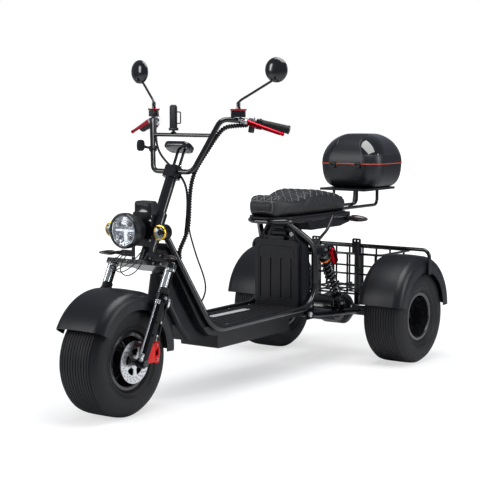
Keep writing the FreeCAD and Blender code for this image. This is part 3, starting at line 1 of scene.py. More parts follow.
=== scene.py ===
# %% [markdown]
# # A motorized trike, dressed for its picture
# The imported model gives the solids, the joints and the record. This lesson paints the solids, adds the detail that the
# solids leave out, and sets up a small photo studio. Everything is in metres: +Z is up, the nose points to -Y and the
# vehicle's left side to +X.

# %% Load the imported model
import math

import bmesh
import bpy
from mathutils import Matrix, Vector


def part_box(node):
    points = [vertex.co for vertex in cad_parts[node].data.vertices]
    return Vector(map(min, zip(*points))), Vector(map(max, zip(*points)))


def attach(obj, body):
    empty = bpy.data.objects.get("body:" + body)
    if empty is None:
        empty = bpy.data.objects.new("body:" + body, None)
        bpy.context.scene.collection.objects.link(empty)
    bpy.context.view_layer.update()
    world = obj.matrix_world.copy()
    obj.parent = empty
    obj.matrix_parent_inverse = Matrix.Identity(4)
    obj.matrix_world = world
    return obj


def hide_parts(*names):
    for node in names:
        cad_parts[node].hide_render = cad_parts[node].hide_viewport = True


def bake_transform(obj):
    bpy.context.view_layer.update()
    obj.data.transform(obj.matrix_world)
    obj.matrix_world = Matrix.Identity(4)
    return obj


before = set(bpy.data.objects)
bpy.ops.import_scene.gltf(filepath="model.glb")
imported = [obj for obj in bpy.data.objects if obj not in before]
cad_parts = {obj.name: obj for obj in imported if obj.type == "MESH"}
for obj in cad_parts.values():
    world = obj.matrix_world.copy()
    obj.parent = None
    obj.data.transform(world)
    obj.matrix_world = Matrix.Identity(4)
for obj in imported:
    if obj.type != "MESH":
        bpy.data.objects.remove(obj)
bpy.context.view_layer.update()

# %% [markdown]
# Places on the vehicle are easiest to read from the front axle, and places on the fork along its rake. `at` and
# `on_fork` turn both into places in the model, and `as_vectors` makes the corners of a box ready for sums.

# %% Places on the vehicle and along the fork
def as_vectors(box):
    """The two corners of a box, as vectors."""
    return [Vector(corner) for corner in box]


rim_low, rim_high = as_vectors(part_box("front_rim"))
axle = (rim_low + rim_high) / 2
rake = math.radians(27)
steer_axis = Vector((0, math.sin(rake), math.cos(rake)))
fork_back = Vector((0, math.cos(rake), -math.sin(rake)))
ahead = (0, -1, 0)
up_z = (0, 0, 1)


def at(x, y, z):
    """A place given in millimetres: across, behind the front axle, above the ground."""
    return Vector((x / 1000, y / 1000 + axle.y, z / 1000))


def on_fork(x, back, up):
    """A place given in millimetres along the raked fork, from the front axle."""
    return axle + Vector((x / 1000, 0, 0)) + fork_back * (back / 1000) + steer_axis * (up / 1000)


def middle(node):
    """The middle of a solid's box."""
    low, high = as_vectors(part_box(node))
    return (low + high) / 2


print("front axle:", [round(value, 4) for value in axle])

# %% [markdown]
# ## Paint
# A material is a small tree of nodes. Written node by node it hides the idea, so two small classes let the maths be
# written as Python: a `Wire` is a socket that can be added and multiplied, and a `Paint` is a material whose nodes are
# made by one method. Only what changes over the surface goes through nodes; plain numbers sit on the shader's own
# sockets, where the export finds them.

# %% Wires and paints
class Wire:
    """One socket of a material, on which arithmetic adds the nodes for it."""

    def __init__(self, paint, socket):
        self.paint = paint
        self.socket = socket

    def maths(self, operation, *values):
        return self.paint.node("Math", {"operation": operation}, *values)

    def __add__(self, other):
        return self.maths("ADD", self, other)

    def __radd__(self, other):
        return self.maths("ADD", other, self)

    def __sub__(self, other):
        return self.maths("SUBTRACT", self, other)

    def __rsub__(self, other):
        return self.maths("SUBTRACT", other, self)

    def __mul__(self, other):
        return self.maths("MULTIPLY", self, other)

    def __rmul__(self, other):
        return self.maths("MULTIPLY", other, self)

    def __pow__(self, other):
        return self.maths("POWER", self, other)

    def __gt__(self, other):
        return self.maths("GREATER_THAN", self, other)

    def __lt__(self, other):
        return self.maths("LESS_THAN", self, other)

    def at_most(self, limit):
        return self.maths("MINIMUM", self, limit)

    def at_least(self, limit):
        return self.maths("MAXIMUM", self, limit)

    def wave(self):
        return self.maths("SINE", self)

    def size(self):
        return self.maths("ABSOLUTE", self)

    def part(self):
        """What is left over past the last whole number."""
        return self.maths("FRACT", self)

    def soft_step(self, low, high):
        """Goes smoothly from 0 at the low value to 1 at the high one."""
        return self.paint.node("MapRange", {"interpolation_type": "SMOOTHSTEP"}, self, low, high, 0, 1)


class Paint:
    """A material whose constants sit on the shader and whose patterns are wires."""

    def __init__(self, name, colour, roughness, **constants):
        self.material = bpy.data.materials.new(name)
        self.material.use_nodes = True
        self.tree = self.material.node_tree
        self.shader = self.tree.nodes["Principled BSDF"]
        self.shader.inputs["Base Color"].default_value = (*colour, 1)
        self.shader.inputs["Roughness"].default_value = roughness
        for socket, value in constants.items():
            self.shader.inputs[socket.replace("_", " ")].default_value = value
        self.material.diffuse_color = (*colour, 1)

    def node(self, kind, settings, *values, out=0):
        """Adds a node, sets it up, and feeds its sockets in order."""
        made = self.tree.nodes.new(f"ShaderNode{kind}")
        for setting, value in settings.items():
            setattr(made, setting, value)
        sockets = [socket for socket in made.inputs if socket.enabled]
        for socket, value in zip(sockets, values):
            if isinstance(value, Wire):
                self.tree.links.new(value.socket, socket)
            elif value is not None:
                socket.default_value = value
        outputs = [socket for socket in made.outputs if socket.enabled]
        return Wire(self, outputs[out])

    def place(self):
        """The place on the object, in metres."""
        return self.node("TexCoord", {}, out=3)

    def apart(self, vector):
        parted = self.tree.nodes.new("ShaderNodeSeparateXYZ")
        self.tree.links.new(vector.socket, parted.inputs[0])
        return [Wire(self, socket) for socket in parted.outputs]

    def noise(self, scale, detail=3):
        return self.node("TexNoise", {"normalize": True}, self.place(), scale, detail)

    def cells(self, scale):
        return self.node("TexVoronoi", {"feature": "F1"}, self.place(), scale)

    def mixed(self, factor, first, second):
        """A colour between two colours."""
        made = self.node("Mix", {"data_type": "RGBA"}, factor)
        mix = made.socket.node
        colours = [socket for socket in mix.inputs if socket.enabled and socket.type == "RGBA"]
        for socket, value in zip(colours, (first, second)):
            if isinstance(value, Wire):
                self.tree.links.new(value.socket, socket)
            else:
                socket.default_value = (*value, 1)
        return made

    def feed(self, socket, wire):
        self.tree.links.new(wire.socket, self.shader.inputs[socket])
        return self

    def bump(self, height, distance, strength):
        """Raises the surface by a pattern; the distance is in metres."""
        made = self.tree.nodes.new("ShaderNodeBump")
        made.inputs["Strength"].default_value = strength
        made.inputs["Distance"].default_value = distance
        self.tree.links.new(height.socket, made.inputs["Height"])
        self.tree.links.new(made.outputs[0], self.shader.inputs["Normal"])
        return self


print("paint tools ready")

# %% [markdown]
# The trike is black all over, so its parts are told apart by gloss and grain. Moulded plastic has a fine grain and a
# broad soft shine, powder coat is smoother and ripples a little, rims are wet black, and rubber is dull with a dusty
# bloom. The colours stay a little above pure black, because real black paint never is.

# %% Black finishes
def grained(name, colour, roughness, grain, depth, spread=0.12, **constants):
    """A moulded finish: a fine grain, and a shine that wanders a little."""
    paint = Paint(name, colour, roughness, **constants)
    fine = paint.noise(grain, 2)
    broad = paint.noise(9, 3)
    worn = paint.noise(160, 4)
    tone = paint.mixed(broad * 0.55 + worn * 0.3, [c * 0.78 for c in colour], [c * 1.35 for c in colour])
    paint.feed("Base Color", tone)
    paint.feed("Roughness", roughness - spread / 2 + broad * spread + worn * spread * 0.3)
    return paint.bump(fine, depth, 0.6)


satin_plastic = grained("satin_plastic", (0.0058, 0.0062, 0.0088), 0.38, 1500, 0.00012, IOR=1.42)
gloss_plastic = grained("gloss_plastic", (0.005, 0.0054, 0.008), 0.16, 400, 0.00002, 0.06, Coat_Weight=0.5,
                        Coat_Roughness=0.05)
powder_coat = grained("powder_coat", (0.005, 0.0053, 0.007), 0.2, 700, 0.00005, 0.08, Coat_Weight=0.3)
leg_black = grained("leg_black", (0.004, 0.0042, 0.006), 0.15, 400, 0.00002, 0.06, IOR=1.24)
rim_black = grained("rim_black", (0.012, 0.0125, 0.015), 0.24, 300, 0.00002, 0.07, Coat_Weight=0.6)
caliper_red = grained("caliper_red", (0.66, 0.010, 0.007), 0.3, 300, 0.00002, 0.06, IOR=1.3)
rubber = grained("rubber", (0.006, 0.006, 0.0075), 0.6, 900, 0.0002, IOR=1.42)
case_plastic = grained("case_plastic", (0.0065, 0.007, 0.010), 0.33, 1100, 0.00008)


def tyre_rubber():
    """Dull rubber with a dusty bloom that wanders at random."""
    paint = Paint("tyre_rubber", (0.01, 0.011, 0.014), 0.6, IOR=1.42)
    dust = paint.noise(26, 4)
    fine = paint.noise(700, 2)
    paint.feed("Base Color", paint.mixed(dust * 0.9, (0.0035, 0.0038, 0.0055), (0.0095, 0.01, 0.013)))
    paint.feed("Roughness", 0.48 + dust * 0.22)
    return paint.bump(fine, 0.00018, 0.6)


tyre_black = tyre_rubber()
print("black finishes:", len(bpy.data.materials))

# %% [markdown]
# Bright metal is what the eye finds first on a black vehicle: polished stanchions, the brushed disc, red anodised
# levers. Chrome has almost no texture of its own, so it only gets a breath of haze; the disc shows the fine rings of
# its grinding wheel.

# %% Bright finishes
def bright(name, colour, roughness, haze=0.06, scale=60, **constants):
    """A polished metal with a breath of haze."""
    paint = Paint(name, colour, roughness, Metallic=1.0, **constants)
    smear = paint.noise(scale, 3)
    paint.feed("Roughness", roughness - haze / 2 + smear * haze)
    paint.feed("Base Color", paint.mixed(smear * 0.5, colour, [c * 0.82 for c in colour]))
    return paint


chrome = bright("chrome", (0.82, 0.83, 0.85), 0.09)
satin_chrome = bright("satin_chrome", (0.95, 0.96, 0.97), 0.24)
alloy = bright("cast_alloy", (0.5, 0.51, 0.53), 0.34, 0.1, 240)
zinc = bright("zinc_bolts", (0.55, 0.56, 0.58), 0.3)
dark_alloy = bright("dark_alloy", (0.035, 0.036, 0.04), 0.36, 0.1, 240)
red_metal = bright("red_anodised", (0.47, 0.007, 0.022), 0.2, 0.08, 150)
yellow_metal = bright("yellow_anodised", (0.86, 0.56, 0.05), 0.25, 0.08, 150)
orange_metal = bright("orange_anodised", (0.85, 0.22, 0.02), 0.28, 0.08, 150)


def ground_steel():
    """Steel with the fine rings that grinding leaves round the wheel's axle."""
    paint = Paint("ground_steel", (0.66, 0.67, 0.69), 0.25, Metallic=1.0)
    x, y, z = paint.apart(paint.place())
    out = ((y - axle.y) * (y - axle.y) + (z - axle.z) * (z - axle.z)) ** 0.5
    rings = (out * 5200).wave() * 0.5 + 0.5
    smear = paint.noise(90, 3)
    paint.feed("Roughness", 0.2 + rings * 0.08 + smear * 0.12)
    paint.feed("Base Color", paint.mixed(rings * 0.35 + smear * 0.3, (0.72, 0.73, 0.75), (0.5, 0.51, 0.53)))
    return paint.bump(rings, 0.00002, 0.5)


disc_steel = ground_steel()
print("bright finishes ready")

# %% [markdown]
# Lamps need clear and coloured plastics. Glass lets light through, so it is a constant on the shader, and only its
# roughness wanders. The turn signals are smoked, so that they look almost black until they are lit.

# %% Lamp finishes
def lens(name, colour, roughness=0.04, transmission=1.0, **constants):
    """A clear or coloured plastic that lets light through."""
    paint = Paint(name, colour, roughness, Transmission_Weight=transmission, IOR=1.47, **constants)
    paint.feed("Roughness", roughness + paint.noise(40, 3) * 0.05)
    return paint


clear_glass = lens("clear_glass", (0.93, 0.95, 0.97))
smoked_glass = lens("smoked_glass", (0.035, 0.024, 0.023), 0.12, 0.2, Coat_Weight=0.4)
red_glass = lens("red_glass", (0.35, 0.015, 0.015), 0.12, 0.3, Coat_Weight=0.6)


def reflector():
    """The facets behind a lamp's glass."""
    paint = Paint("reflector", (0.3, 0.31, 0.34), 0.14, Metallic=1.0)
    facets = paint.cells(85)
    paint.feed("Roughness", 0.08 + facets * 0.2)
    return paint.bump(facets, 0.003, 0.7)


mirror_bowl = reflector()
print("lamp finishes ready")

# %% Paint the solids
painted_nodes = (
    (tyre_black, "front_tyre rear_left_tyre rear_right_tyre"),
    (rim_black, "front_rim rear_left_rim rear_right_rim"),
    (disc_steel, "front_brake_disc"),
    (powder_coat, "front_axle steering_stem handlebar lamp_bracket frame seat_rail swing_arm rear_axle "
                  "shock_coils rear_cross_tube mount_ears cargo_basket case_rack"),
    (leg_black, "fork_lower_legs"),
    (satin_chrome, "fork_stanchions"),
    (rubber, "handlebar_grips floor_mat seat_cushion handlebar_cables frame_cables"),
    (red_metal, "brake_levers reservoir_caps front_caliper shock_bottles"),
    (dark_alloy, "bar_controls shock_dampers"),
    (gloss_plastic, "mirrors dashboard fog_lamps"),
    (satin_plastic, "bar_accessories headlamp_housing nose_box front_fender rear_fenders floor_pan "
                    "under_floor_box seat_pillar battery_box seat_pan under_seat_tray horn"),
    (clear_glass, "headlamp_lens"),
    (smoked_glass, "front_turn_signals rear_turn_signals"),
    (red_glass, "tail_lamp"),
    (case_plastic, "case_tub case_lid"),
)
paints = {name: paint for paint, names in painted_nodes for name in names.split()}
for name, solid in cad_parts.items():
    paint = paints.get(name, satin_plastic)
    if not solid.material_slots:
        solid.data.materials.append(paint.material)
    for slot in solid.material_slots:
        slot.material = paint.material
print("painted", len(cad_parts), "solids; without a paint:", sorted(set(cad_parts) - set(paints)))

# %% [markdown]
# ## The studio
# The photograph is a cut-out on white: a long lens a little above the handlebar, looking at the left front. The floor
# is near white and keeps a soft shadow. The white behind the vehicle is given only to what the camera sees, straight
# or through glass, so it adds no light to the object.

# %% Camera
def in_scene(name, data):
    """Adds an object with some data to the scene."""
    made = bpy.data.objects.new(name, data)
    bpy.context.collection.objects.link(made)
    return made


view_yaw = math.radians(35.72)
view_pitch = math.radians(5.791)
camera_x, camera_back, camera_up = 3.585, -4.114, 1.256
focal_pixels, photo_pixels = 1379.54, 480
sensor_width = 36
look = Vector((-math.sin(view_yaw) * math.cos(view_pitch), math.cos(view_yaw) * math.cos(view_pitch),
               -math.sin(view_pitch)))
camera_data = bpy.data.cameras.new("camera")
camera_data.sensor_width = sensor_width
camera_data.lens = focal_pixels * sensor_width / photo_pixels
camera = in_scene("camera", camera_data)
camera.location = (camera_x, camera_back + axle.y, camera_up)
camera.rotation_mode = "QUATERNION"
camera.rotation_quaternion = look.to_track_quat("-Z", "Y")
bpy.context.scene.camera = camera
print("lens", round(camera_data.lens, 1), "mm")

# %% Floor and background
floor_mesh = bpy.data.meshes.new("studio_floor")
floor_shape = bmesh.new()
bmesh.ops.create_grid(floor_shape, x_segments=1, y_segments=1, size=30)
floor_shape.to_mesh(floor_mesh)
floor_shape.free()
floor = in_scene("studio_floor", floor_mesh)
pale_floor = Paint("pale_floor", (0.9, 0.9, 0.9), 0.9)
floor_mesh.materials.append(pale_floor.material)
rays = pale_floor.tree.nodes.new("ShaderNodeLightPath")
seen = Wire(pale_floor, rays.outputs["Is Camera Ray"])
x, y, z = pale_floor.apart(pale_floor.place())
white_at_middle, white_per_metre, white_strength = 0.34, 0.2, 1.25
fade = ((x * x + y * y) ** 0.5 * white_per_metre + white_at_middle).at_most(1.0)
glow = pale_floor.node("Emission", {}, (1, 1, 1, 1), white_strength)
lit = Wire(pale_floor, pale_floor.shader.outputs[0])
shown = pale_floor.node("MixShader", {}, seen * fade, lit, glow)
pale_floor.tree.links.new(shown.socket, pale_floor.tree.nodes["Material Output"].inputs["Surface"])

world = bpy.data.worlds.new("studio")
bpy.context.scene.world = world
world.use_nodes = True
world_nodes = world.node_tree.nodes
path = world_nodes.new("ShaderNodeLightPath")
soft_sky = world_nodes["Background"]
white = world_nodes.new("ShaderNodeBackground")
for sky, colour, strength in ((soft_sky, (0.82, 0.89, 1, 1), 0.24), (white, (1, 1, 1, 1), 1.0)):
    sky.inputs["Color"].default_value = colour
    sky.inputs["Strength"].default_value = strength
either = world_nodes.new("ShaderNodeMath")
either.operation = "MAXIMUM"
blend_sky = world_nodes.new("ShaderNodeMixShader")
for output, socket in ((path.outputs["Is Camera Ray"], either.inputs[0]),
                       (path.outputs["Is Transmission Ray"], either.inputs[1]),
                       (either.outputs[0], blend_sky.inputs[0]),
                       (soft_sky.outputs[0], blend_sky.inputs[1]),
                       (white.outputs[0], blend_sky.inputs[2]),
                       (blend_sky.outputs[0], world_nodes["World Output"].inputs["Surface"])):
    world.node_tree.links.new(output, socket)
bpy.context.scene.view_settings.view_transform = "Standard"


# %% Lamps
def soft_box(name, place, aim, width, height, power):
    """A rectangular lamp that faces a point."""
    light = bpy.data.lights.new(name, "AREA")
    light.shape = "RECTANGLE"
    light.size, light.size_y = width, height
    light.energy = power
    lamp = in_scene(name, light)
    lamp.location = place
    lamp.rotation_mode = "QUATERNION"
    lamp.rotation_quaternion = (Vector(aim) - Vector(place)).to_track_quat("-Z", "Y")


soft_box("top_box", (0.5, -0.2, 3.4), (0, 0, 0.5), 2.2, 2.6, 110)
soft_box("side_box", (4.0, 1.2, 2.0), (0, 0, 0.6), 0.7, 2.4, 60)
soft_box("front_box", (-2.6, -4.0, 2.2), (0, -0.5, 0.6), 1.0, 2.2, 60)
print("studio ready")

# %% [markdown]
# ## Tools for shapes
# Most parts of a vehicle are turned, extruded or bent. Three functions cover them: `turned` spins a profile, `slab`
# extrudes an outline and rounds its corners and rims with the bevel operator, and `hose_shape` sends a round section
# along a smooth curve. `placed` then moves the mesh itself, so that every object stays at the origin.

# %% Turn, extrude, bend and place
def turned(profile, steps, closed=False):
    """Spins a profile of radius and height, in millimetres, round the local z axis."""
    shape = bmesh.new()
    corners = [shape.verts.new((radius / 1000, 0, height / 1000)) for radius, height in profile]
    ends = zip(corners, corners[1:] + corners[:1]) if closed else zip(corners, corners[1:])
    edges = [shape.edges.new(ends_of) for ends_of in ends]
    bmesh.ops.spin(shape, geom=corners + edges, cent=(0, 0, 0), axis=(0, 0, 1), dvec=(0, 0, 0), angle=2 * math.pi,
                   steps=steps, use_merge=True, use_duplicate=False)
    bmesh.ops.remove_doubles(shape, verts=shape.verts, dist=1e-6)
    bmesh.ops.recalc_face_normals(shape, faces=shape.faces)
    return shape


def upright(edge):
    """Whether an edge runs along local z."""
    first, second = edge.verts
    return abs(first.co.z - second.co.z) > 1e-7


def rounded(shape, edges, width, segments):
    """Bevels some edges; the width is in millimetres."""
    bmesh.ops.bevel(shape, geom=edges, offset=width / 1000, offset_type="OFFSET", segments=segments, profile=0.5,
                    affect="EDGES", material=-1)


def oblong(half_x, half_y, top_x=None):
    """The outline of a rectangle round the middle. Another half width at its top makes it a trapezium."""
    top_x = half_x if top_x is None else top_x
    return [(-half_x, -half_y), (half_x, -half_y), (top_x, half_y), (-top_x, half_y)]


def slab(outline, thickness, corner=0, rim=0, segments=4):
    """Extrudes an outline in millimetres along local z, then rounds its corners and its two rims."""
    shape = bmesh.new()
    face = shape.faces.new([shape.verts.new((x / 1000, y / 1000, 0)) for x, y in outline])
    grown = bmesh.ops.extrude_face_region(shape, geom=[face])
    top = [item for item in grown["geom"] if isinstance(item, bmesh.types.BMVert)]
    bmesh.ops.translate(shape, verts=top, vec=(0, 0, thickness / 1000))
    bmesh.ops.recalc_face_normals(shape, faces=shape.faces)
    if corner:
        rounded(shape, [edge for edge in shape.edges if upright(edge)], corner, segments)
    if rim:
        rounded(shape, [edge for edge in shape.edges if not upright(edge)], rim, 3)
    return shape


def frame_of(place, out, up=(0, 0, 1)):
    """A matrix whose z axis points out, with its y axis as near to up as it can be."""
    z = Vector(out).normalized()
    x = Vector(up).cross(z)
    if x.length < 1e-6:
        x = Vector((1, 0, 0))
    x.normalize()
    y = z.cross(x)
    turn = Matrix((x, y, z)).transposed().to_4x4()
    return Matrix.Translation(Vector(place)) @ turn


def moved(shape, matrix):
    """Moves a shape by a matrix."""
    bmesh.ops.transform(shape, matrix=matrix, verts=shape.verts)
    return shape


def placed(shape, place, out=(0, 0, 1), up=(0, 1, 0)):
    """Moves a shape to a place, with its z axis out and its y axis up."""
    return moved(shape, frame_of(place, out, up))


def facing(shape, place):
    """Moves a shape to a place, with its z axis to the front of the vehicle."""
    return placed(shape, place, ahead, up_z)


def joined(shapes):
    """Puts several shapes in one mesh."""
    whole = bmesh.new()
    for shape in shapes:
        part = bpy.data.meshes.new("part")
        shape.to_mesh(part)
        shape.free()
        whole.from_mesh(part)
        bpy.data.meshes.remove(part)
    return whole


def with_twin(shape):
    """Adds the mirror image on the other side of the vehicle."""
    bmesh.ops.mirror(shape, geom=shape.verts[:] + shape.edges[:] + shape.faces[:], axis="X", merge_dist=-1)
    bmesh.ops.recalc_face_normals(shape, faces=shape.faces)
    return shape


def piece(name, shape, paint, body, stands_for=(), sharp=38):
    """Makes a painted piece that rides on a body and takes over the solids it stands for."""
    mesh = bpy.data.meshes.new(name)
    shape.to_mesh(mesh)
    shape.free()
    made = in_scene(name, mesh)
    mesh.materials.append(paint.material)
    mesh.polygons.foreach_set("use_smooth", [True] * len(mesh.polygons))
    mesh.set_sharp_from_angle(angle=math.radians(sharp))
    if body:
        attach(made, body)
    if stands_for:
        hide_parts(*stands_for)
    return made


def smooth_curve(points, radius=0, sides=6):
    """A NURBS curve that follows its control points; these and the radius are in metres."""
    line = bpy.data.curves.new("line", "CURVE")
    line.dimensions = "3D"
    line.resolution_u = 8
    line.bevel_depth = radius
    line.bevel_resolution = sides // 2
    line.use_fill_caps = radius > 0
    spline = line.splines.new("NURBS")
    spline.points.add(len(points) - 1)
    for point, place in zip(spline.points, points):
        point.co = (*place, 1)
    spline.order_u = 3
    spline.use_endpoint_u = True
    return line


def meshed(line):
    """The mesh of a curve."""
    holder = in_scene("holder", line)
    bpy.context.view_layer.update()
    mesh = bpy.data.meshes.new_from_object(holder.evaluated_get(bpy.context.evaluated_depsgraph_get()))
    bpy.data.objects.remove(holder)
    return mesh


def hose_shape(points, radius, sides=6):
    """A round hose along a smooth curve; its radius is in millimetres."""
    mesh = meshed(smooth_curve(points, radius / 1000, sides))
    shape = bmesh.new()
    shape.from_mesh(mesh)
    bpy.data.meshes.remove(mesh)
    bmesh.ops.remove_doubles(shape, verts=shape.verts, dist=1e-6)
    bmesh.ops.recalc_face_normals(shape, faces=shape.faces)
    return shape


print("shape tools ready")

# %% [markdown]
# ## Tyres
# These are wide road tyres: a dozen narrow grooves run round the tread, and the sidewall is smooth with two raised
# rings near the rim. Everything is the same all the way round, so one profile is spun. The grooves are drawn once for
# half the tread and mirrored.

# %% Tyres
def tyre_profile():
    """Radius and distance from the middle plane, all the way round the section, in millimetres."""
    grooves = [(7, 3.2), (21, 3.2), (35, 3.2), (49, 3.0), (62, 2.8), (74, 2.6)]
    tread_radius, shoulder = 227.0, 85
    mouth, floor_half = 1.9, 1.1
    half = [(tread_radius, 0.0)]

    def crown(x):
        return tread_radius - 3.0 * (x / shoulder) ** 4 - 4.0 * (x / shoulder) ** 10

    for x, depth in grooves:
        floor_radius = crown(x) - depth
        half += [(crown(x - mouth), x - mouth), (floor_radius, x - floor_half), (floor_radius, x + floor_half),
                 (crown(x + mouth), x + mouth)]
    half += [(217.5, 84), (211, 92), (202, 98.5), (192, 102.6), (180, 105.2), (168, 106), (156, 105.2), (150, 104.2),
             (149, 105.2), (145, 104.8), (144, 103.2), (134, 99.6), (127, 95.5), (126, 95.8), (122.5, 92.6),
             (121, 90.4), (117.5, 88.3), (116.2, 84)]
    flank = half[1:]
    return [(r, -x) for r, x in reversed(flank)] + half + [(104.2, 83.6), (104.2, -83.6)]


for name, body in (("front_tyre", "front_wheel"), ("rear_left_tyre", "rear_left_wheel"),
                   ("rear_right_tyre", "rear_right_wheel")):
    shape = placed(turned(tyre_profile(), 120, closed=True), middle(name), (1, 0, 0), (0, 0, 1))
    made = piece(name.replace("tyre", "grooved_tyre"), shape, tyre_black, body, (name,), 50)
print("tyre faces:", len(made.data.polygons))

# %% [markdown]
# ## Wheels
# The rims are deep black dishes with bolts round the hub, a rolled lip and a tyre valve. The lip and dish are in the
# solids. Bolts, hub caps and valves are small turned pieces, and the bolts are repeated round the axle.

# %% Hub bolts, caps and valves
def bolt_head(width, height):
    """A six-sided head with a washer under it."""
    head = turned([(0, height), (width * 0.42, height), (width * 0.5, height - 1), (width * 0.5, 1.2)], 6)
    washer = turned([(width * 0.5, 1.2), (width * 0.66, 1.2), (width * 0.66, 0), (0, 0)], 16)
    return joined([head, washer])


def button_head(width, height):
    """A low round head with a hexagonal socket."""
    socket_half, socket_floor = 0.28 * width, height - 2.4
    cap = turned([(socket_half, socket_floor), (socket_half, height), (width * 0.4, height * 0.86),
                  (width * 0.5, height * 0.3), (width * 0.5, 0)], 18)
    socket = turned([(0, socket_floor), (socket_half, socket_floor)], 6)
    return joined([cap, socket])


def web_bolts(centre, out):
    """A ring of bolts on the web of a wheel."""
    count, radius = 5, 56
    bolts = []
    for index in range(count):
        angle = 2 * math.pi * index / count
        spot = Matrix.Translation((radius * math.cos(angle) / 1000, radius * math.sin(angle) / 1000, 0))
        bolts.append(moved(bolt_head(13, 8), frame_of(centre, out) @ spot))
    return joined(bolts)


def valve(place, out):
    """The rubber stem of a tyre's valve."""
    return placed(turned([(0, 22), (2.6, 22), (3, 18), (3, 14), (4.2, 12), (4.2, 0)], 12), place, out)


for name, body, side in (("rear_left_rim", "rear_left_wheel", 1), ("rear_right_rim", "rear_right_wheel", -1)):
    hub = middle(name)
    bolts = web_bolts(hub + Vector((side * -0.0235, 0, 0)), (side, 0, 0))
    piece(f"{name}_bolts", bolts, zinc, body)
    cap = turned([(0, 14), (15, 13), (19, 9), (20, 0), (24, -1), (24, -6)], 32)
    placed(cap, hub + Vector((side * 0.022, 0, 0)), (side, 0, 0))
    piece(f"{name}_hub_cap", cap, dark_alloy, body)
    stem = valve(hub + Vector((side * 0.06, 0.03, 0.086)), (side * 0.8, -0.2, -0.6))
    piece(f"{name}_valve", stem, rubber, body)
front_hub = middle("front_rim")
front_bolts = web_bolts(front_hub + Vector((-0.0205, 0, 0)), (-1, 0, 0))
piece("front_web_bolts", front_bolts, zinc, "front_wheel")
front_stem = valve(front_hub + Vector((0.06, -0.05, 0.076)), (0.8, 0.3, -0.55))
piece("front_valve", front_stem, rubber, "front_wheel")
print("wheel trim done")

# %% [markdown]
# ## Fork
# The fork's tubes are in the solids. What makes them look like a fork is the hardware: rubber dust seals where the
# polished tubes enter the legs, bolts on the clamps, and the ends of the bright rod before each leg.

# %% Fork hardware
leg_x = 150
seal_line = [(15.2, 26), (19, 25), (20.5, 21), (20.5, 16), (19, 14), (20.5, 12), (20.5, 7), (19, 5), (21.5, 3),
             (21.5, 0)]
ring_line = [(15.3, 0), (18.5, 0.6), (18.5, 9), (15.3, 10)]
rod_foot_line = [(4.6, 22), (7.5, 20), (7.5, 2), (9, 0), (9, -9), (5, -12), (0, -12)]
rod_head_line = [(4.6, -16), (7, -14), (7, 0), (0, 1)]
for side, label in ((1, "left"), (-1, "right")):
    out = (side, 0, 0)
    seal = placed(turned(seal_line, 40), on_fork(side * leg_x, -7, 289), steer_axis, out)
    piece(f"{label}_dust_seal", seal, rubber, "steering")
    rod_ends = []
    for line, steps, back, up in ((ring_line, 40, -7, 386), (rod_foot_line, 24, -22.8, 12),
                                  (rod_head_line, 24, -22.8, 258.4)):
        rod_ends.append(placed(turned(line, steps), on_fork(side * leg_x, back, up), steer_axis, out))
    piece(f"{label}_rod_ends", joined(rod_ends), zinc, "steering")
    bolts = [placed(button_head(13, 6), on_fork(side * (leg_x + 18), back, 272), out, steer_axis) for back in (-8, 16)]
    bolts += [placed(button_head(12, 5), on_fork(side * (leg_x + 13), 14, up), out, steer_axis) for up in (120, 176)]
    piece(f"{label}_leg_bolts", joined(bolts), zinc, "steering")
crown_bolts = [placed(bolt_head(14, 9), on_fork(x, -4, 417), steer_axis, (1, 0, 0)) for x in (-leg_x, leg_x)]
for x in (-110, -70, 70, 110):
    crown_bolts.append(placed(button_head(11, 5), on_fork(x, -28, 407), -fork_back, steer_axis))
for x in (-22, 22):
    for back in (15, 52):
        crown_bolts.append(placed(button_head(12, 6), on_fork(x, back, 852), steer_axis, (1, 0, 0)))
piece("crown_bolts", joined(crown_bolts), zinc, "steering")
print("fork hardware done")

# %% [markdown]
# The caliper is a red casting that stands upright: two halves with a waist between the two pistons, a bridge over the
# disc and an arm to the fork leg. Two bolts and a bleed nipple finish it.

# %% Brake caliper
cal_low = Vector(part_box("front_caliper")[0])
cal_mid = at(0, 114, 252)
outer_start, outer_end = 120.2, 136.7
cal_outline = [(-14, -43), (14, -43), (17, -15), (12, -8), (12, 8), (17, 15), (14, 43), (-14, 43), (-17, 15), (-13, 8),
               (-13, -8), (-17, -15)]


def on_caliper(shape, x, back=0, up=0):
    """Moves a shape to a place in metres round the caliper's middle, with its z axis to the left."""
    return placed(shape, (x, cal_mid.y + back, cal_mid.z + up), (1, 0, 0), up_z)


cal_parts = []
for x_start, thickness in ((cal_low.x * 1000, 13.0), (outer_start, outer_end - outer_start)):
    cal_parts.append(on_caliper(slab(cal_outline, thickness, 5, 1.6), x_start / 1000))
cal_parts.append(on_caliper(slab([(4, -14), (14, -14), (14, 14), (4, 14)], 40, 3, 1.5), cal_low.x + 0.001))
cal_parts.append(on_caliper(slab([(-24, -40), (40, -36), (40, 36), (-18, 46)], 6, 8, 1), 0.1305, -0.048))
piece("red_caliper", joined(cal_parts), caliper_red, "steering", ("front_caliper",))
cal_bolts = [on_caliper(button_head(11, 5), 0.1367, up=up) for up in (-0.029, 0.029)]
nipple = turned([(0, 15), (2.4, 15), (2.4, 9), (4.2, 8), (4.2, 0)], 16)
cal_bolts.append(placed(nipple, (0.126, cal_mid.y + 0.004, cal_mid.z + 0.043), (0, 0.3, 1)))
piece("caliper_bolts", joined(cal_bolts), zinc, "steering")
print("caliper done")
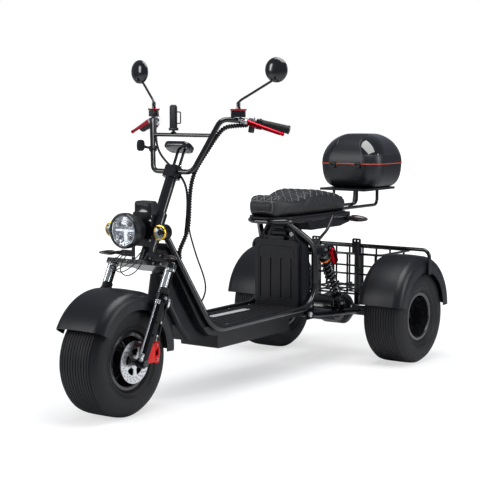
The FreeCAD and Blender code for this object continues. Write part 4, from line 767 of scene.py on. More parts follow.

# %% [markdown]
# ## Lamps
# A modern headlamp is a faceted bowl behind a clear dome. Four round mirrors and a bright T-shaped bar show through
# the glass. The bowl and the small mirrors are turned, the bar is two slabs with a faint painted glow, painted light
# that brightens them, and a bright ring runs round the bowl inside the black one.

# %% Headlamp
lamp = at(0, 82, 735)
ring = facing(turned([(61.8, 9), (64, 15.4), (67.5, 15.8), (70.5, 13), (72.1, 6), (71.6, 3), (61.8, 3)], 96), lamp)
piece("headlamp_ring", ring, gloss_plastic, "steering")
bright_ring = facing(turned([(58.2, 2), (58.2, 8), (59.6, 10.4), (61.6, 9.4), (61.6, 2)], 96), lamp)
piece("headlamp_bright_ring", bright_ring, chrome, "steering")
bowl = facing(turned([(0, -3.4), (30, -3.2), (50, -1), (58.6, 3.6), (60.2, 3.4), (60.2, -5), (0, -5)], 72), lamp)
piece("headlamp_bowl", bowl, mirror_bowl, "steering")
cups, eyes = [], []
for x, z in ((-26, 27), (26, 27), (-26, -27), (27, -29)):
    place = lamp + Vector((x / 1000, 0, z / 1000))
    cups.append(facing(turned([(15, -3), (19, 2.5), (20.4, 2.5), (20.4, -3)], 40), place))
    eyes.append(facing(turned([(0, 3), (5, 2.2), (8.4, -1), (9, -3)], 32), place))
piece("headlamp_cups", joined(cups), chrome, "steering")
piece("headlamp_eyes", joined(eyes), gloss_plastic, "steering")
# Painted light: a faint painted glow brightens the white bar.
bar_painted_glow = Paint("lamp_bar", (0.9, 0.92, 0.95), 0.3, Emission_Strength=0.55)
bar_painted_glow.shader.inputs["Emission Color"].default_value = (0.93, 0.96, 1, 1)
bar_painted_glow.feed("Roughness", 0.25 + bar_painted_glow.noise(120) * 0.12)
across = facing(slab(oblong(46, 4), 6.5, 2, 1), lamp + Vector((0, 0.003, 0.002)))
down = facing(slab([(-6, -44), (6, -44), (8, -4), (-8, -4)], 6.5, 2, 1), lamp + Vector((0.006, 0.003, 0.002)))
piece("headlamp_bar", joined([across, down]), bar_painted_glow, "steering")
glass_line = [(0, 13.2), (20, 12.6), (40, 10.2), (54, 6.4), (58, 4.6), (58, 3.2), (53, 4.8), (40, 8.6), (20, 11),
              (0, 11.6)]
glass = facing(turned(glass_line, 72), lamp)
piece("headlamp_glass", glass, clear_glass, "steering", ("headlamp_lens",))
print("headlamp done")

# %% [markdown]
# Each fog lamp is a finned can with a yellow ring, a mirror cup and a thick round lens. Its four profiles are spun one
# after the other, once for each side.

# %% Fog lamps
fin_pitch = 7
can_line = [(26, -5), (31, -5), (31, -10), (31, -14)]
for fin in range(4):
    start = -14 - fin * fin_pitch
    can_line += [(31, start), (31, start - 3.5), (27.5, start - 3.7), (27.5, start - 6.8)]
can_line += [(31, -42), (26, -47), (14, -52), (0, -52)]
fog_profiles = {
    "ring": ([(24.6, -4), (24.8, 2), (27, 3.6), (30.2, 2.8), (31.2, 0), (31.2, -4)], 64),
    "cup": ([(12, -6.5), (19, -3.4), (24, 1.2), (24.8, 1.2), (24.8, -7)], 56),
    "lens": ([(0, 5), (7, 3.8), (12, 0), (13.2, -4), (13.2, -7)], 48),
    "can": (can_line, 56),
}
fog_shapes = {}
for part, (profile, steps) in fog_profiles.items():
    fog_shapes[part] = joined([facing(turned(profile, steps), at(side * 127, 145, 730)) for side in (-1, 1)])
piece("fog_rings", fog_shapes["ring"], yellow_metal, "steering")
piece("fog_cups", fog_shapes["cup"], chrome, "steering")
piece("fog_lenses", fog_shapes["lens"], clear_glass, "steering")
piece("fog_cans", fog_shapes["can"], dark_alloy, "steering", ("fog_lamps",))
print("fog lamps done")

# %% [markdown]
# The bracket behind the lamps shows its bolts, and the plain nose box on top carries a shallow frame with nothing in
# it. The turn signals, front and rear, are smoked pods wider than they are high, on ribbed rubber stalks.

# %% Bracket, nose box and front signals
nose_low, nose_high = as_vectors(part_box("nose_box"))
nose_mid = (nose_low + nose_high) / 2
nose_shape = slab(oblong(44, 30), 44, 13, 4, 6)
facing(nose_shape, (0, nose_high.y, nose_mid.z))
piece("nose_block", nose_shape, satin_plastic, "steering", ("nose_box",))
nose_frame = slab(oblong(32, 19), 1.6, 7, 0.5, 5)
nose_top = [face for face in nose_frame.faces if face.normal.z > 0.99]
bmesh.ops.inset_region(nose_frame, faces=nose_top, thickness=0.0026, depth=-0.0009)
facing(nose_frame, (0, nose_low.y + 0.0006, nose_mid.z))
piece("nose_plate", nose_frame, gloss_plastic, "steering")
bracket_bolts = [facing(button_head(10, 4), at(x, 186.3, z)) for x in (-44, 44) for z in (616, 690, 770)]
bracket_bolts += [facing(button_head(9, 4), at(x, 186.3, 631)) for x in (-96, 96)]
piece("bracket_bolts", joined(bracket_bolts), zinc, "steering")


def signal_pod(length):
    """A pod that is wider than it is high and ends in a blunt tip."""
    pod = turned([(0, length), (6, length - 2), (11, length - 14), (15.5, length - 34), (17, length - 52),
                  (13, length - 66), (6.8, length - 70), (6.8, 0)], 40)
    bulb = [vertex for vertex in pod.verts if vertex.co.z > (length - 69) / 1000]
    bmesh.ops.scale(pod, verts=bulb, vec=(1.12, 0.62, 1))
    return pod


stalk_line = [(8.4, 0), (8.8, 6), (7.4, 8), (8.6, 10), (7.4, 12), (8.6, 14), (7.4, 16), (7.4, 20)]
for name, body, root, out, length in (
        ("front_turn_signals", "steering", at(112.5, 189.3, 631), Vector((1, -0.4, -0.02)), 97),
        ("rear_turn_signals", "chassis", at(102.6, 1612, 684), Vector((1, 0.2, -0.06)), 83)):
    pods = with_twin(placed(signal_pod(length), root, out, up_z))
    piece(name.replace("turn", "smoked"), pods, smoked_glass, body, (name,))
    stalks = with_twin(placed(turned(stalk_line, 24), root, out, up_z))
    piece(name.replace("turn_signals", "signal_stalks"), stalks, rubber, body)
print("signals done")

# %% [markdown]
# ## Handlebar
# The levers are flat red blades with a milled slot and a ball end. Each is drawn as an outline in the plane of the
# lever, extruded, and its slot pressed in with the inset operator. Beside them sit a silver cylinder with its clamp,
# the fluid cup with its red lid and a black switch pod.

# %% Levers, cups and switches
bar_end = at(392, 672, 1133)
bar_elbow = at(248, 598, 1168)
grip_way = (bar_elbow - bar_end).normalized()


def lever_shape():
    """A blade along local x, with a slot pressed into its broad faces."""
    outline = [(0, -7), (0, 7), (26, 9), (70, 7.6), (130, 6.6), (164, 6.6), (172, 5), (172, -5), (164, -6.6), (130, -7),
               (70, -8.6), (26, -11)]
    least_area = 0.0008
    blade = slab(outline, 10, 0, 1.2)
    broad = [face for face in blade.faces if abs(face.normal.z) > 0.99 and face.calc_area() > least_area]
    for face in broad:
        bmesh.ops.inset_region(blade, faces=[face], thickness=0.0026, depth=-0.0022)
    bmesh.ops.translate(blade, verts=blade.verts, vec=(0, 0, -0.0045))
    return blade


lever_root = at(246, 549, 1172)
lever_tip = at(402, 612, 1116)
lever_way = (lever_tip - lever_root).normalized()
lever_face = Vector((0.15, -1, -0.45)).cross(lever_way).normalized()
turn = Matrix((lever_way, lever_face.cross(lever_way), lever_face)).transposed().to_4x4()
on_edge = Matrix.Rotation(math.radians(90), 4, "X")
blade = moved(lever_shape(), Matrix.Translation(lever_root) @ turn @ on_edge)
piece("slotted_levers", with_twin(blade), red_metal, "steering", ("brake_levers",))
pivot = turned([(0, 9), (6, 8.4), (7.5, 6), (7.5, -6), (6, -8.4), (0, -9)], 24)
placed(pivot, lever_root + lever_way * 0.012, lever_way.cross(lever_face).cross(lever_way))
piece("lever_pivots", with_twin(pivot), zinc, "steering")
tip_ball = placed(turned([(0, 8), (4, 7), (7, 4), (8, 0), (7, -4), (4, -7), (0, -8)], 24), lever_tip, lever_way)
piece("lever_balls", with_twin(tip_ball), red_metal, "steering")

cap_low = Vector(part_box("reservoir_caps")[0])
cap_mid = at(226, 546, 0)
bar_side = Vector((grip_way.y, -grip_way.x, 0)).normalized()


def on_cup(shape, up):
    """Moves a shape over the cup's middle, at a height in metres above the lid's lower face."""
    return placed(shape, (cap_mid.x, cap_mid.y, cap_low.z + up), up_z, bar_side)


lid = on_cup(slab(oblong(33, 15), 7.4, 6, 1.8), 0)
piece("red_lids", with_twin(lid), red_metal, "steering", ("reservoir_caps",))
cup = on_cup(slab(oblong(31, 12.5, 29), 27, 4, 2), -0.0273)
piece("fluid_cups", with_twin(cup), gloss_plastic, "steering")
lid_screws = []
for across, back in ((-0.021, 0.011), (0.021, -0.011)):
    lid_screws.append(placed(button_head(6, 2.2), (cap_mid.x + across, cap_mid.y + back, cap_low.z + 0.0072)))
piece("lid_screws", with_twin(joined(lid_screws)), zinc, "steering")

cylinder = turned([(0, -14), (9, -13), (11, -8), (11, 24), (8, 28), (8, 36), (0, 37)], 28)
placed(cylinder, at(238, 553, 1172), lever_way)
clamp = slab(oblong(17, 20), 20, 7, 2)
placed(clamp, bar_elbow + grip_way * 0.004 + Vector((0.004, -0.004, 0.0)), -grip_way, up_z)
piece("master_cylinders", with_twin(joined([cylinder, clamp])), alloy, "steering")
pod = slab([(-19, -22), (17, -22), (20, 4), (17, 21), (-17, 21)], 26, 6, 2.5)
placed(pod, bar_end + grip_way * 0.137 + Vector((0, -0.002, -0.003)), -grip_way, up_z)
switches_at = bar_end + grip_way * 0.124
knob = turned([(0, 8), (6, 7.5), (8, 5), (8, 0)], 24)
placed(knob, switches_at + Vector((0, 0.018, 0.006)), (0, 1, 0.2))
switch = placed(slab(oblong(9, 5), 6, 2, 1), switches_at + Vector((0, 0.016, -0.012)), (0, 1, -0.1))
hanging = slab(oblong(11, 9), 26, 4, 2)
placed(hanging, bar_end + grip_way * 0.150 + Vector((0, -0.012, -0.018)), (0, -0.3, -1))
switch_pods = with_twin(joined([pod, knob, switch, hanging]))
piece("switch_pods", switch_pods, satin_plastic, "steering", ("bar_controls",))
print("bar controls done")

# %% [markdown]
# The grips are soft sleeves with fine ribs. The ribs run round the bar, so they are spun into the sleeve's profile:
# many narrow rings, a collar at the inner end and a metal plug at the outer one.

# %% Grips
grip_line = [(0, -5), (12, -5), (17, -4.2), (18.4, -2), (18.4, 3), (17, 6)]
rib_pitch = 6.3
for index in range(17):
    up = 9 + index * rib_pitch
    grip_line += [(16.6, up), (17.5, up + 0.9), (17.5, up + 4.2), (16.6, up + 5.1)]
grip_line += [(16.8, 117.5), (21.6, 121), (21.9, 124.6), (13, 125)]
grips = placed(turned(grip_line, 40), bar_end, grip_way)
piece("ribbed_grips", with_twin(grips), rubber, "steering", ("handlebar_grips",), 50)
plugs = placed(turned([(0, -6.6), (8, -6.4), (12.5, -5.2), (12.5, -4)], 32), bar_end, grip_way)
piece("bar_end_plugs", with_twin(plugs), alloy, "steering")

# %% [markdown]
# Each mirror is a shallow dish on a bent wire stalk with a ball joint and a lock nut. The dish's back is smooth gloss
# plastic, and its face is real mirror glass set in a thin rim.

# %% Mirrors
mirror_mid = at(366, 616, 1380)
mirror_way = Vector((-0.12, 1, 0.02)).normalized()
shell_line = [(0, -16.4), (14, -15.9), (28, -13.4), (40, -8.6), (48, -3), (51.6, 1.5), (52.2, 4.5), (51.4, 6.4),
              (49.6, 6.6), (49, 5.4)]
shells = placed(turned(shell_line, 72), mirror_mid, mirror_way)
glass_face = placed(turned([(0, 5.6), (30, 5.6), (49.2, 5.5), (49.2, 4), (0, 4)], 72), mirror_mid, mirror_way)
socket = turned([(11, -1), (10.5, 5), (8, 11), (6, 14), (5, 15)], 28)
placed(socket, at(366, 607.2, 1345.5), Vector((0.05, -0.15, -1)))
stalk_path = [at(226, 546, 1219.4), at(226, 546, 1236), at(228, 547, 1252), at(262, 567, 1275), at(330, 607, 1324),
              at(356, 619, 1341), at(364, 613, 1353), at(366, 611, 1366)]
stalk = hose_shape(stalk_path, 5, sides=8)
nuts = [placed(turned([(5.4, 0), (9.4, 0.6), (9.4, 9.4), (5.4, 10)], 6), at(226, 546, 1219.5)),
        placed(turned([(5.2, 0), (8.4, 1), (8.4, 14), (6, 20), (5.2, 20)], 24), at(226, 546, 1229.5))]
mirror_shells = with_twin(joined([shells, socket]))
piece("mirror_shells", mirror_shells, gloss_plastic, "steering", ("mirrors",))
piece("mirror_stalks", with_twin(joined([stalk] + nuts)), powder_coat, "steering")
piece("mirror_glass", with_twin(glass_face), chrome, "steering")
print("mirrors done")

# %% [markdown]
# The display is a long bean of gloss plastic, tilted back on two short posts. Its top carries a dark screen and two
# buttons, and four screws hold it from below.

# %% Display
dash_frame = Matrix.Translation(at(0, 428, 1050)) @ Matrix.Rotation(math.radians(-36), 4, "X")
upside_down = Matrix.Rotation(math.pi, 4, "X")


def on_dash(shape, x=0, y=0, z=0, turn=Matrix()):
    """Moves a shape to a place on the tilted display, in metres."""
    return moved(shape, dash_frame @ Matrix.Translation((x, y, z)) @ turn)


dash_shape = on_dash(slab(oblong(67, 34), 24, 27, 7, 10))
screen = on_dash(slab(oblong(46, 22), 1.2, 12, 0.4, 8), z=0.0238)
screen_glass = Paint("screen_glass", (0.01, 0.012, 0.016), 0.08, Coat_Weight=1.0, Coat_Roughness=0.02)
screen_glass.feed("Roughness", 0.06 + screen_glass.noise(30) * 0.05)
buttons = [on_dash(slab(oblong(5, 5), 2, 4.6, 0.6, 6), x, z=0.0236) for x in (-0.056, 0.056)]
dash_screws = []
for x, y in ((-0.052, -0.014), (0.052, -0.014), (-0.040, 0.020), (0.040, 0.020)):
    dash_screws.append(on_dash(button_head(7, 2.6), x, y, 0.0002, upside_down))
bar_foot_back, bar_foot_up, axle_up = 390, 960, 227
bar_back = bar_foot_back * math.cos(rake) - (bar_foot_up - axle_up) * math.sin(rake)
post_line = [(0, 0.2), (9, 0.2), (9, 3), (6.2, 4), (6.2, 82)]
posts = [placed(turned(post_line, 24), on_fork(x, bar_back, 852.3), steer_axis, (1, 0, 0)) for x in (-16, 16)]
piece("display_body", dash_shape, gloss_plastic, "steering", ("dashboard",))
piece("display_posts", joined(posts), powder_coat, "steering")
piece("display_screen", screen, screen_glass, "steering")
piece("display_buttons", joined(buttons), rubber, "steering")
piece("display_screws", joined(dash_screws), zinc, "steering")
print("display done")

# %% [markdown]
# A phone holder with a wire loop stands at the middle of the bar, and the right riser carries a small paddle on a
# clamp.

# %% Phone holder and paddle
acc_low, acc_high = as_vectors(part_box("bar_accessories"))
acc_mid = (acc_low + acc_high) / 2
holder_foot = acc_high.z - 0.108
holder = slab([(-17, 0), (17, 0), (17, 100), (10, 108), (-10, 108), (-17, 100)], 12, 3, 2)
facing(holder, (acc_mid.x, acc_high.y - 0.0002, holder_foot))
jaw = slab([(-20, 0), (20, 0), (20, 12), (-20, 12)], 19, 3, 2)
facing(jaw, (acc_mid.x, acc_high.y + 0.004, holder_foot))
loop_points = [(17, 30), (34, 30), (38, 32), (38, 36), (38, 72), (38, 76), (34, 78), (17, 78)]
loop = hose_shape([(acc_mid.x + x / 1000, acc_mid.y, holder_foot + z / 1000) for x, z in loop_points], 2.6)
post = placed(turned([(12, 0), (12, 3), (6, 6), (6, 16)], 24), (acc_mid.x, acc_mid.y, acc_low.z))
phone_holder = joined([holder, jaw, loop, post])
piece("phone_holder", phone_holder, satin_plastic, "steering", ("bar_accessories",))
riser_low, riser_high = at(-103, 390, 960), at(-184, 483, 1178)
riser_way = (riser_high - riser_low).normalized()
spot = riser_low + riser_way * 0.105
clamp_ring = turned([(11.3, -9), (16, -9), (17, -8), (17, 8), (16, 9), (11.3, 9)], 36, closed=True)
placed(clamp_ring, spot, riser_way)
neck = placed(turned([(5.5, 0), (5.5, 34), (8, 36), (0, 36)], 20), spot, Vector((-0.45, -0.75, 0.2)))
paddle = slab([(-15, -22), (15, -22), (19, 6), (14, 26), (-14, 26), (-18, 6)], 9, 9, 2.6)
placed(paddle, spot + Vector((-0.034, -0.038, 0.012)), Vector((0.35, -1, 0.1)), up_z)
piece("bar_paddle", joined([clamp_ring, neck, paddle]), satin_plastic, "steering")
print("accessories done")

# %% [markdown]
# ## Cables
# The cables run together in a spiral wrap. One smooth curve carries the core, and the wrap is a helix whose points are
# read along that curve. The bundle passes the steering axis between the bar and the frame.

# %% Cable bundle
def along(points):
    """Places one after the other on the smooth curve of some control points."""
    mesh = meshed(smooth_curve(points))
    places = [vertex.co.copy() for vertex in mesh.vertices]
    bpy.data.meshes.remove(mesh)
    return places


def wrapped(points, radius, pitch, strip):
    """A strip wound round a curve, all in millimetres but the points."""
    route = along(points)
    lengths = [0.0]
    for first, second in zip(route, route[1:]):
        lengths.append(lengths[-1] + (second - first).length)
    turns = lengths[-1] * 1000 / pitch
    steps_per_turn = 12
    count = int(turns * steps_per_turn)
    side = Vector((1, 0, 0))
    helix = []
    place_index = 0
    for step in range(count + 1):
        reach = lengths[-1] * step / count
        while place_index < len(route) - 2 and lengths[place_index + 1] < reach:
            place_index += 1
        span = lengths[place_index + 1] - lengths[place_index]
        share = (reach - lengths[place_index]) / span
        way = (route[place_index + 1] - route[place_index]).normalized()
        side = (side - way * side.dot(way)).normalized()
        other = way.cross(side)
        angle = 2 * math.pi * turns * step / count
        centre = route[place_index].lerp(route[place_index + 1], share)
        helix.append(centre + (side * math.cos(angle) + other * math.sin(angle)) * radius / 1000)
    return hose_shape(helix, strip, sides=4)


bundle_route = [at(246, 584, 1152), at(216, 540, 1150), at(188, 502, 1144), at(170, 480, 1116), at(146, 452, 1060),
                at(120, 428, 1006), at(100, 408, 958), at(91, 397, 906), at(88, 392, 850), at(88, 390, 812),
                at(87, 388, 762), at(84, 382, 716), at(76, 366, 676), at(66, 356, 646), at(58, 356, 622),
                at(58, 362, 600)]
core = hose_shape(bundle_route, 7.4, sides=12)
wrap = wrapped(bundle_route, 8.0, 11, 2.7)
bundle = piece("cable_bundle", joined([core, wrap]), rubber, None,
               ("handlebar_cables", "frame_cables"), 60)
throttle_route = [at(-196, 512, 1170), at(-178, 494, 1150), at(-162, 480, 1112), at(-136, 454, 1066),
                  at(-88, 420, 1026), at(-20, 396, 984), at(34, 402, 944), at(62, 402, 900), at(73, 397, 850),
                  at(74, 394, 800), at(72, 390, 750), at(72, 382, 706)]
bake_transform(bundle)
throttle = piece("throttle_cable", hose_shape(throttle_route, 5.0, sides=10), rubber, None)
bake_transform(throttle)
print("bundle faces:", len(bundle.data.polygons))

# %% [markdown]
# ## Saddle
# The saddle is foam under a tight cover: smooth flanks and nose, and a top sewn in diamonds with pale thread. The solid
# is only a block, so a new form starts from its side outline, a little smaller. It is remeshed evenly, blown up a few
# millimetres with a cloth simulation, as foam fills a cover, and only then sewn: every seam narrower than a voxel
# would be lost before that.

# %% Saddle form
seat_low, seat_high = as_vectors(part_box("seat_cushion"))
seat_base = seat_low.z
side_line = [(1058, 727), (1040, 736), (1030, 754), (1027, 776), (1033, 797), (1048, 810), (1070, 816), (1100, 814),
             (1135, 807), (1180, 803), (1230, 810), (1285, 824), (1340, 830), (1400, 827), (1470, 816), (1540, 802),
             (1580, 792), (1596, 778), (1599, 756), (1596, 727)]


def seat_half(y):
    """Half the saddle's width at a distance behind the front axle, in millimetres."""
    nose_y, nose_long, nose_half, full_half = 1030, 180, 68, 126
    share = max(0.0, min(1.0, (y - nose_y) / nose_long))
    return nose_half + (full_half - nose_half) * math.sin(share * math.pi / 2) ** 0.9


blank_half = 118
blank = slab(side_line, 2)
bmesh.ops.scale(blank, verts=blank.verts, vec=(1, 1, blank_half))
bmesh.ops.translate(blank, verts=blank.verts, vec=(0, 0, -blank_half / 1000))
rounded(blank, [edge for edge in blank.edges if not upright(edge)], 20, 4)
outline_to_side = Matrix(((0, 0, 1, 0), (1, 0, 0, axle.y), (0, 1, 0, 0), (0, 0, 0, 1)))
moved(blank, outline_to_side)
bmesh.ops.recalc_face_normals(blank, faces=blank.faces)
saddle_mesh = bpy.data.meshes.new("saddle")
blank.to_mesh(saddle_mesh)
blank.free()
saddle = in_scene("saddle", saddle_mesh)


def apply_modifier(thing, kind, **settings):
    """Adds a modifier, sets it and bakes it into the mesh."""
    step = thing.modifiers.new(kind.lower(), kind)
    for setting, value in settings.items():
        setattr(step, setting, value)
    bpy.context.view_layer.update()
    shaped = bpy.data.meshes.new_from_object(thing.evaluated_get(bpy.context.evaluated_depsgraph_get()))
    thing.modifiers.clear()
    old, thing.data = thing.data, shaped
    bpy.data.meshes.remove(old)


voxel_size, flank_height, flank_bulge, reference_half = 0.005, 0.07, 0.03, 127
apply_modifier(saddle, "REMESH", mode="VOXEL", voxel_size=voxel_size)
for vertex in saddle.data.vertices:
    y = (vertex.co.y - axle.y) * 1000
    height = max(0.0, min(1.0, (vertex.co.z - seat_base) / flank_height))
    vertex.co.x *= seat_half(y) / reference_half * (1 - flank_bulge + flank_bulge * math.sin(height * math.pi))
print("saddle blank:", len(saddle.data.vertices), "vertices")

# %% Blow the saddle up like foam
last_frame, most_swell = 20, 0.007
saddle_start = [vertex.co.copy() for vertex in saddle.data.vertices]
cloth = saddle.modifiers.new("cloth", "CLOTH")
cloth.settings.use_pressure = True
cloth.settings.uniform_pressure_force = 4
cloth.settings.effector_weights.gravity = 0
cloth.settings.quality = 5
scene = bpy.context.scene
for step in range(1, last_frame + 1):
    scene.frame_set(step)
blown = saddle.evaluated_get(bpy.context.evaluated_depsgraph_get())
swelled = [vertex.co.copy() for vertex in blown.data.vertices]
scene.frame_set(1)
saddle.modifiers.clear()
for vertex, start, end in zip(saddle.data.vertices, saddle_start, swelled):
    shift = end - start
    if shift.length > most_swell:
        shift *= most_swell / shift.length
    vertex.co = start + shift
for vertex in saddle.data.vertices:
    vertex.co.z = max(vertex.co.z, seat_base + 0.0003)
    vertex.co.y = min(vertex.co.y, seat_high.y)
saddle.data.update()
apply_modifier(saddle, "SUBSURF", levels=1, render_levels=1)
print("saddle:", len(saddle.data.vertices), "vertices")

# %% [markdown]
# The seams go in last. A diamond is two families of slanting lines, so the distance to the nearest line is the part
# left over after dividing by the pitch. The same sum is used twice: once to press the channels into the mesh, and once
# in the material to draw the thread.

# %% Sew the saddle
diamond_x, diamond_y = 0.040, 0.052
nose_seam = axle.y + 1.040


def seam_height(y):
    """The height of the side seam, in metres."""
    back = (y - axle.y) * 1000
    wave = [(1030, 800), (1100, 797), (1170, 790), (1230, 794), (1290, 806), (1360, 811), (1450, 804), (1540, 792),
            (1600, 782)]
    for (y0, z0), (y1, z1) in zip(wave, wave[1:]):
        if back <= y1:
            share = max(0.0, (back - y0) / (y1 - y0))
            share = share * share * (3 - 2 * share)
            return (z0 + (z1 - z0) * share) / 1000
    return wave[-1][1] / 1000


quilt = saddle.data.attributes.new("quilt", "FLOAT", "POINT")
seam = saddle.data.attributes.new("seam", "FLOAT", "POINT")
piping = saddle.data.attributes.new("piping", "FLOAT", "POINT")
edge_fade, line_pitch, plain_foot, nose_curve, sewn_from = 0.004, 0.037, 0.012, 0.9, 0.002
channel_width, channel_depth = 0.0028, 0.0016
puff_width, puff_height = 0.009, 0.0009
sewn_width, sewn_depth = 0.0026, 0.0022
bead_width, bead_height = 0.0022, 0.0016
normals = [vertex.normal.copy() for vertex in saddle.data.vertices]
for vertex, normal, cover, line, pipe in zip(saddle.data.vertices, normals, quilt.data, seam.data, piping.data):
    place = vertex.co
    above = place.z - seam_height(place.y)
    nose = place.y - nose_seam + nose_curve * place.x * place.x
    on_top = min(1.0, max(0.0, above / edge_fade)) * min(1.0, max(0.0, nose / edge_fade))
    first = (place.x / diamond_x + place.y / diamond_y) % 1.0
    second = (place.x / diamond_x - place.y / diamond_y) % 1.0
    near = min(abs(first - 0.5), abs(second - 0.5)) * line_pitch
    channel = math.exp(-(near / channel_width) ** 2)
    puff = 1 - math.exp(-(near / puff_width) ** 2)
    sewn = math.exp(-(above / sewn_width) ** 2) if nose > sewn_from else 0.0
    bead = math.exp(-(nose / bead_width) ** 2)
    if place.z < seat_base + plain_foot:
        sewn = bead = 0.0
    cover.value = on_top
    line.value = sewn
    pipe.value = bead
    relief = on_top * (puff_height * puff - channel_depth * channel) - sewn_depth * sewn + bead_height * bead
    vertex.co = place + normal * relief
saddle.data.update()

cover_leather = Paint("saddle_cover", (0.018, 0.018, 0.02), 0.5)
x, y, z = cover_leather.apart(cover_leather.place())
first_line = ((x * (1 / diamond_x) + y * (1 / diamond_y)).part() - 0.5).size()
second_line = ((x * (1 / diamond_x) - y * (1 / diamond_y)).part() - 0.5).size()
quilted = cover_leather.node("Attribute", {"attribute_name": "quilt"}, out=2)
sewn_line = cover_leather.node("Attribute", {"attribute_name": "seam"}, out=2)
near_line = first_line.at_most(second_line)
thread_width, top_only, stitch_gap = 0.04, 0.6, 0.28
dash = ((x * 150 + y * 210).part() > stitch_gap) * ((y * 210 - x * 150).part() > stitch_gap)
thread = (near_line < thread_width) * (quilted > top_only) * dash
pebble = cover_leather.cells(620)
fold = cover_leather.noise(22, 3)
leather_tone = cover_leather.mixed(fold * 0.8 + pebble * 0.3, (0.006, 0.0062, 0.0078), (0.016, 0.0165, 0.019))
# Painted shade: the side seam's channel is painted darker than the leather around it.
shaded = cover_leather.mixed(sewn_line * 0.7, leather_tone, (0.003, 0.003, 0.004))
piped = cover_leather.node("Attribute", {"attribute_name": "piping"}, out=2)
stitches = (piped > 0.5) * ((x * 170 + z * 170 + y * 60).part() > 0.35)
shaded = cover_leather.mixed(stitches, shaded, (0.13, 0.13, 0.14))
cover_leather.feed("Base Color", cover_leather.mixed(thread, shaded, (0.24, 0.245, 0.26)))
cover_leather.feed("Roughness", 0.42 + fold * 0.14 + thread * 0.3)
cover_leather.bump(pebble * 0.5 + thread * 0.8, 0.0004, 0.7)
saddle.data.materials.clear()
saddle.data.materials.append(cover_leather.material)
saddle.data.polygons.foreach_set("use_smooth", [True] * len(saddle.data.polygons))
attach(saddle, "chassis")
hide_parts("seat_cushion")
for word, pick, solid_corner in (("low", min, seat_low), ("high", max, seat_high)):
    corner = [pick(vertex.co[axis] for vertex in saddle.data.vertices) for axis in range(3)]
    print("saddle", word, [round(value, 4) for value in corner], "solid", [round(value, 4) for value in solid_corner])

# %% [markdown]
# ## Floor and battery
# The floor is black rubber with lengthwise ribs and one pale strip. The ribs are in the solids, so the scene adds the
# strip, the screws along the edges and the pivot bolts of the swing arm. The battery's face gets a key lock with a
# bright ring.

# %% Floor trim
strip_paint = Paint("pale_strip", (0.42, 0.43, 0.44), 0.55)
worn = strip_paint.noise(220, 4)
strip_paint.feed("Base Color", strip_paint.mixed(worn, (0.3, 0.31, 0.32), (0.5, 0.51, 0.52)))
strip_paint.feed("Roughness", 0.45 + worn * 0.25)
mat_high = Vector(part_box("floor_mat")[1])
strip = placed(slab(oblong(19, 140), 1.2, 2, 0.4), (-0.032, axle.y + 0.83, mat_high.z - 0.0004))
piece("floor_strip", strip, strip_paint, "chassis")
screws = [placed(button_head(10, 3), at(x, y, 300)) for x in (-126, 126) for y in (600, 780, 960, 1120)]
piece("floor_screws", joined(screws), zinc, "chassis")
pivots = []
pivot_line = [(0, 10), (5, 10), (5, 8.6), (9, 8), (12, 5), (12, 1.4), (15, 1.2), (15, 0)]
for side in (-1, 1):
    pivots.append(placed(turned(pivot_line, 32), at(side * 152, 1222, 266), (side, 0, 0)))
    pivots.append(placed(bolt_head(12, 7), at(side * 152, 1222, 306), (side, 0, 0)))
piece("pivot_bolts", joined(pivots), zinc, "chassis")
print("floor trim done")

# %% Battery lock
lock = at(75, 1180, 640)
lock_ring = facing(turned([(6, 5.6), (7, 7.4), (10.4, 7.4), (11.6, 5.8), (11.6, 0)], 40), lock)
lock_core = facing(turned([(0, 6.2), (5, 6.2), (6.2, 5.6), (6.2, 0)], 28), lock)
key_slot = facing(slab(oblong(0.8, 4), 0.8, 0, 0.2), lock + Vector((0, -0.0058, 0)))
piece("key_ring", lock_ring, chrome, "chassis")
piece("key_core", lock_core, alloy, "chassis")
piece("key_slot", key_slot, rubber, "chassis")
print("battery trim done")

# %% [markdown]
# ## Rear shocks
# A shock is a damper inside a wound spring, with a red bottle clamped beside it. The solids already have all three.
# The scene winds the spring from a round wire, cuts fins into the bottle and adds the orange collar.

# %% Shocks
damper_high = Vector(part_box("shock_dampers")[1])
eye_radius = 0.014
shock_x = damper_high.x - 0.028
coil_radius, coil_turns, steps_per_turn = 0.0238, 8.5, 12
below_coil, above_coil, collar_drop, thread_drop, thread_pitch = 0.0535, 0.0605, 0.0585, 0.048, 0.003


def shock_frame(side):
    """The foot and top of one shock, and a frame with its local z from foot to top."""
    low, high = as_vectors(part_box("shock_dampers"))
    foot = Vector((side * shock_x, high.y - eye_radius, low.z + eye_radius))
    top = Vector((side * shock_x, low.y + eye_radius, high.z - eye_radius))
    return foot, top, frame_of(foot, top - foot, (0, 1, 0))


def coil_shape(turn, low, high):
    """A helix of round wire along a frame's z axis. Its first and last steps reach out to the spring's seats."""
    count = int(coil_turns * steps_per_turn)
    helix = []
    for index in range(count + 1):
        share = index / count
        height = low + (high - low) * (0.04 + 0.92 * share if 0 < index < count else share)
        angle = 2 * math.pi * coil_turns * share
        helix.append(turn @ Vector((coil_radius * math.cos(angle), coil_radius * math.sin(angle), height)))
    return hose_shape(helix, 4.4, sides=8)


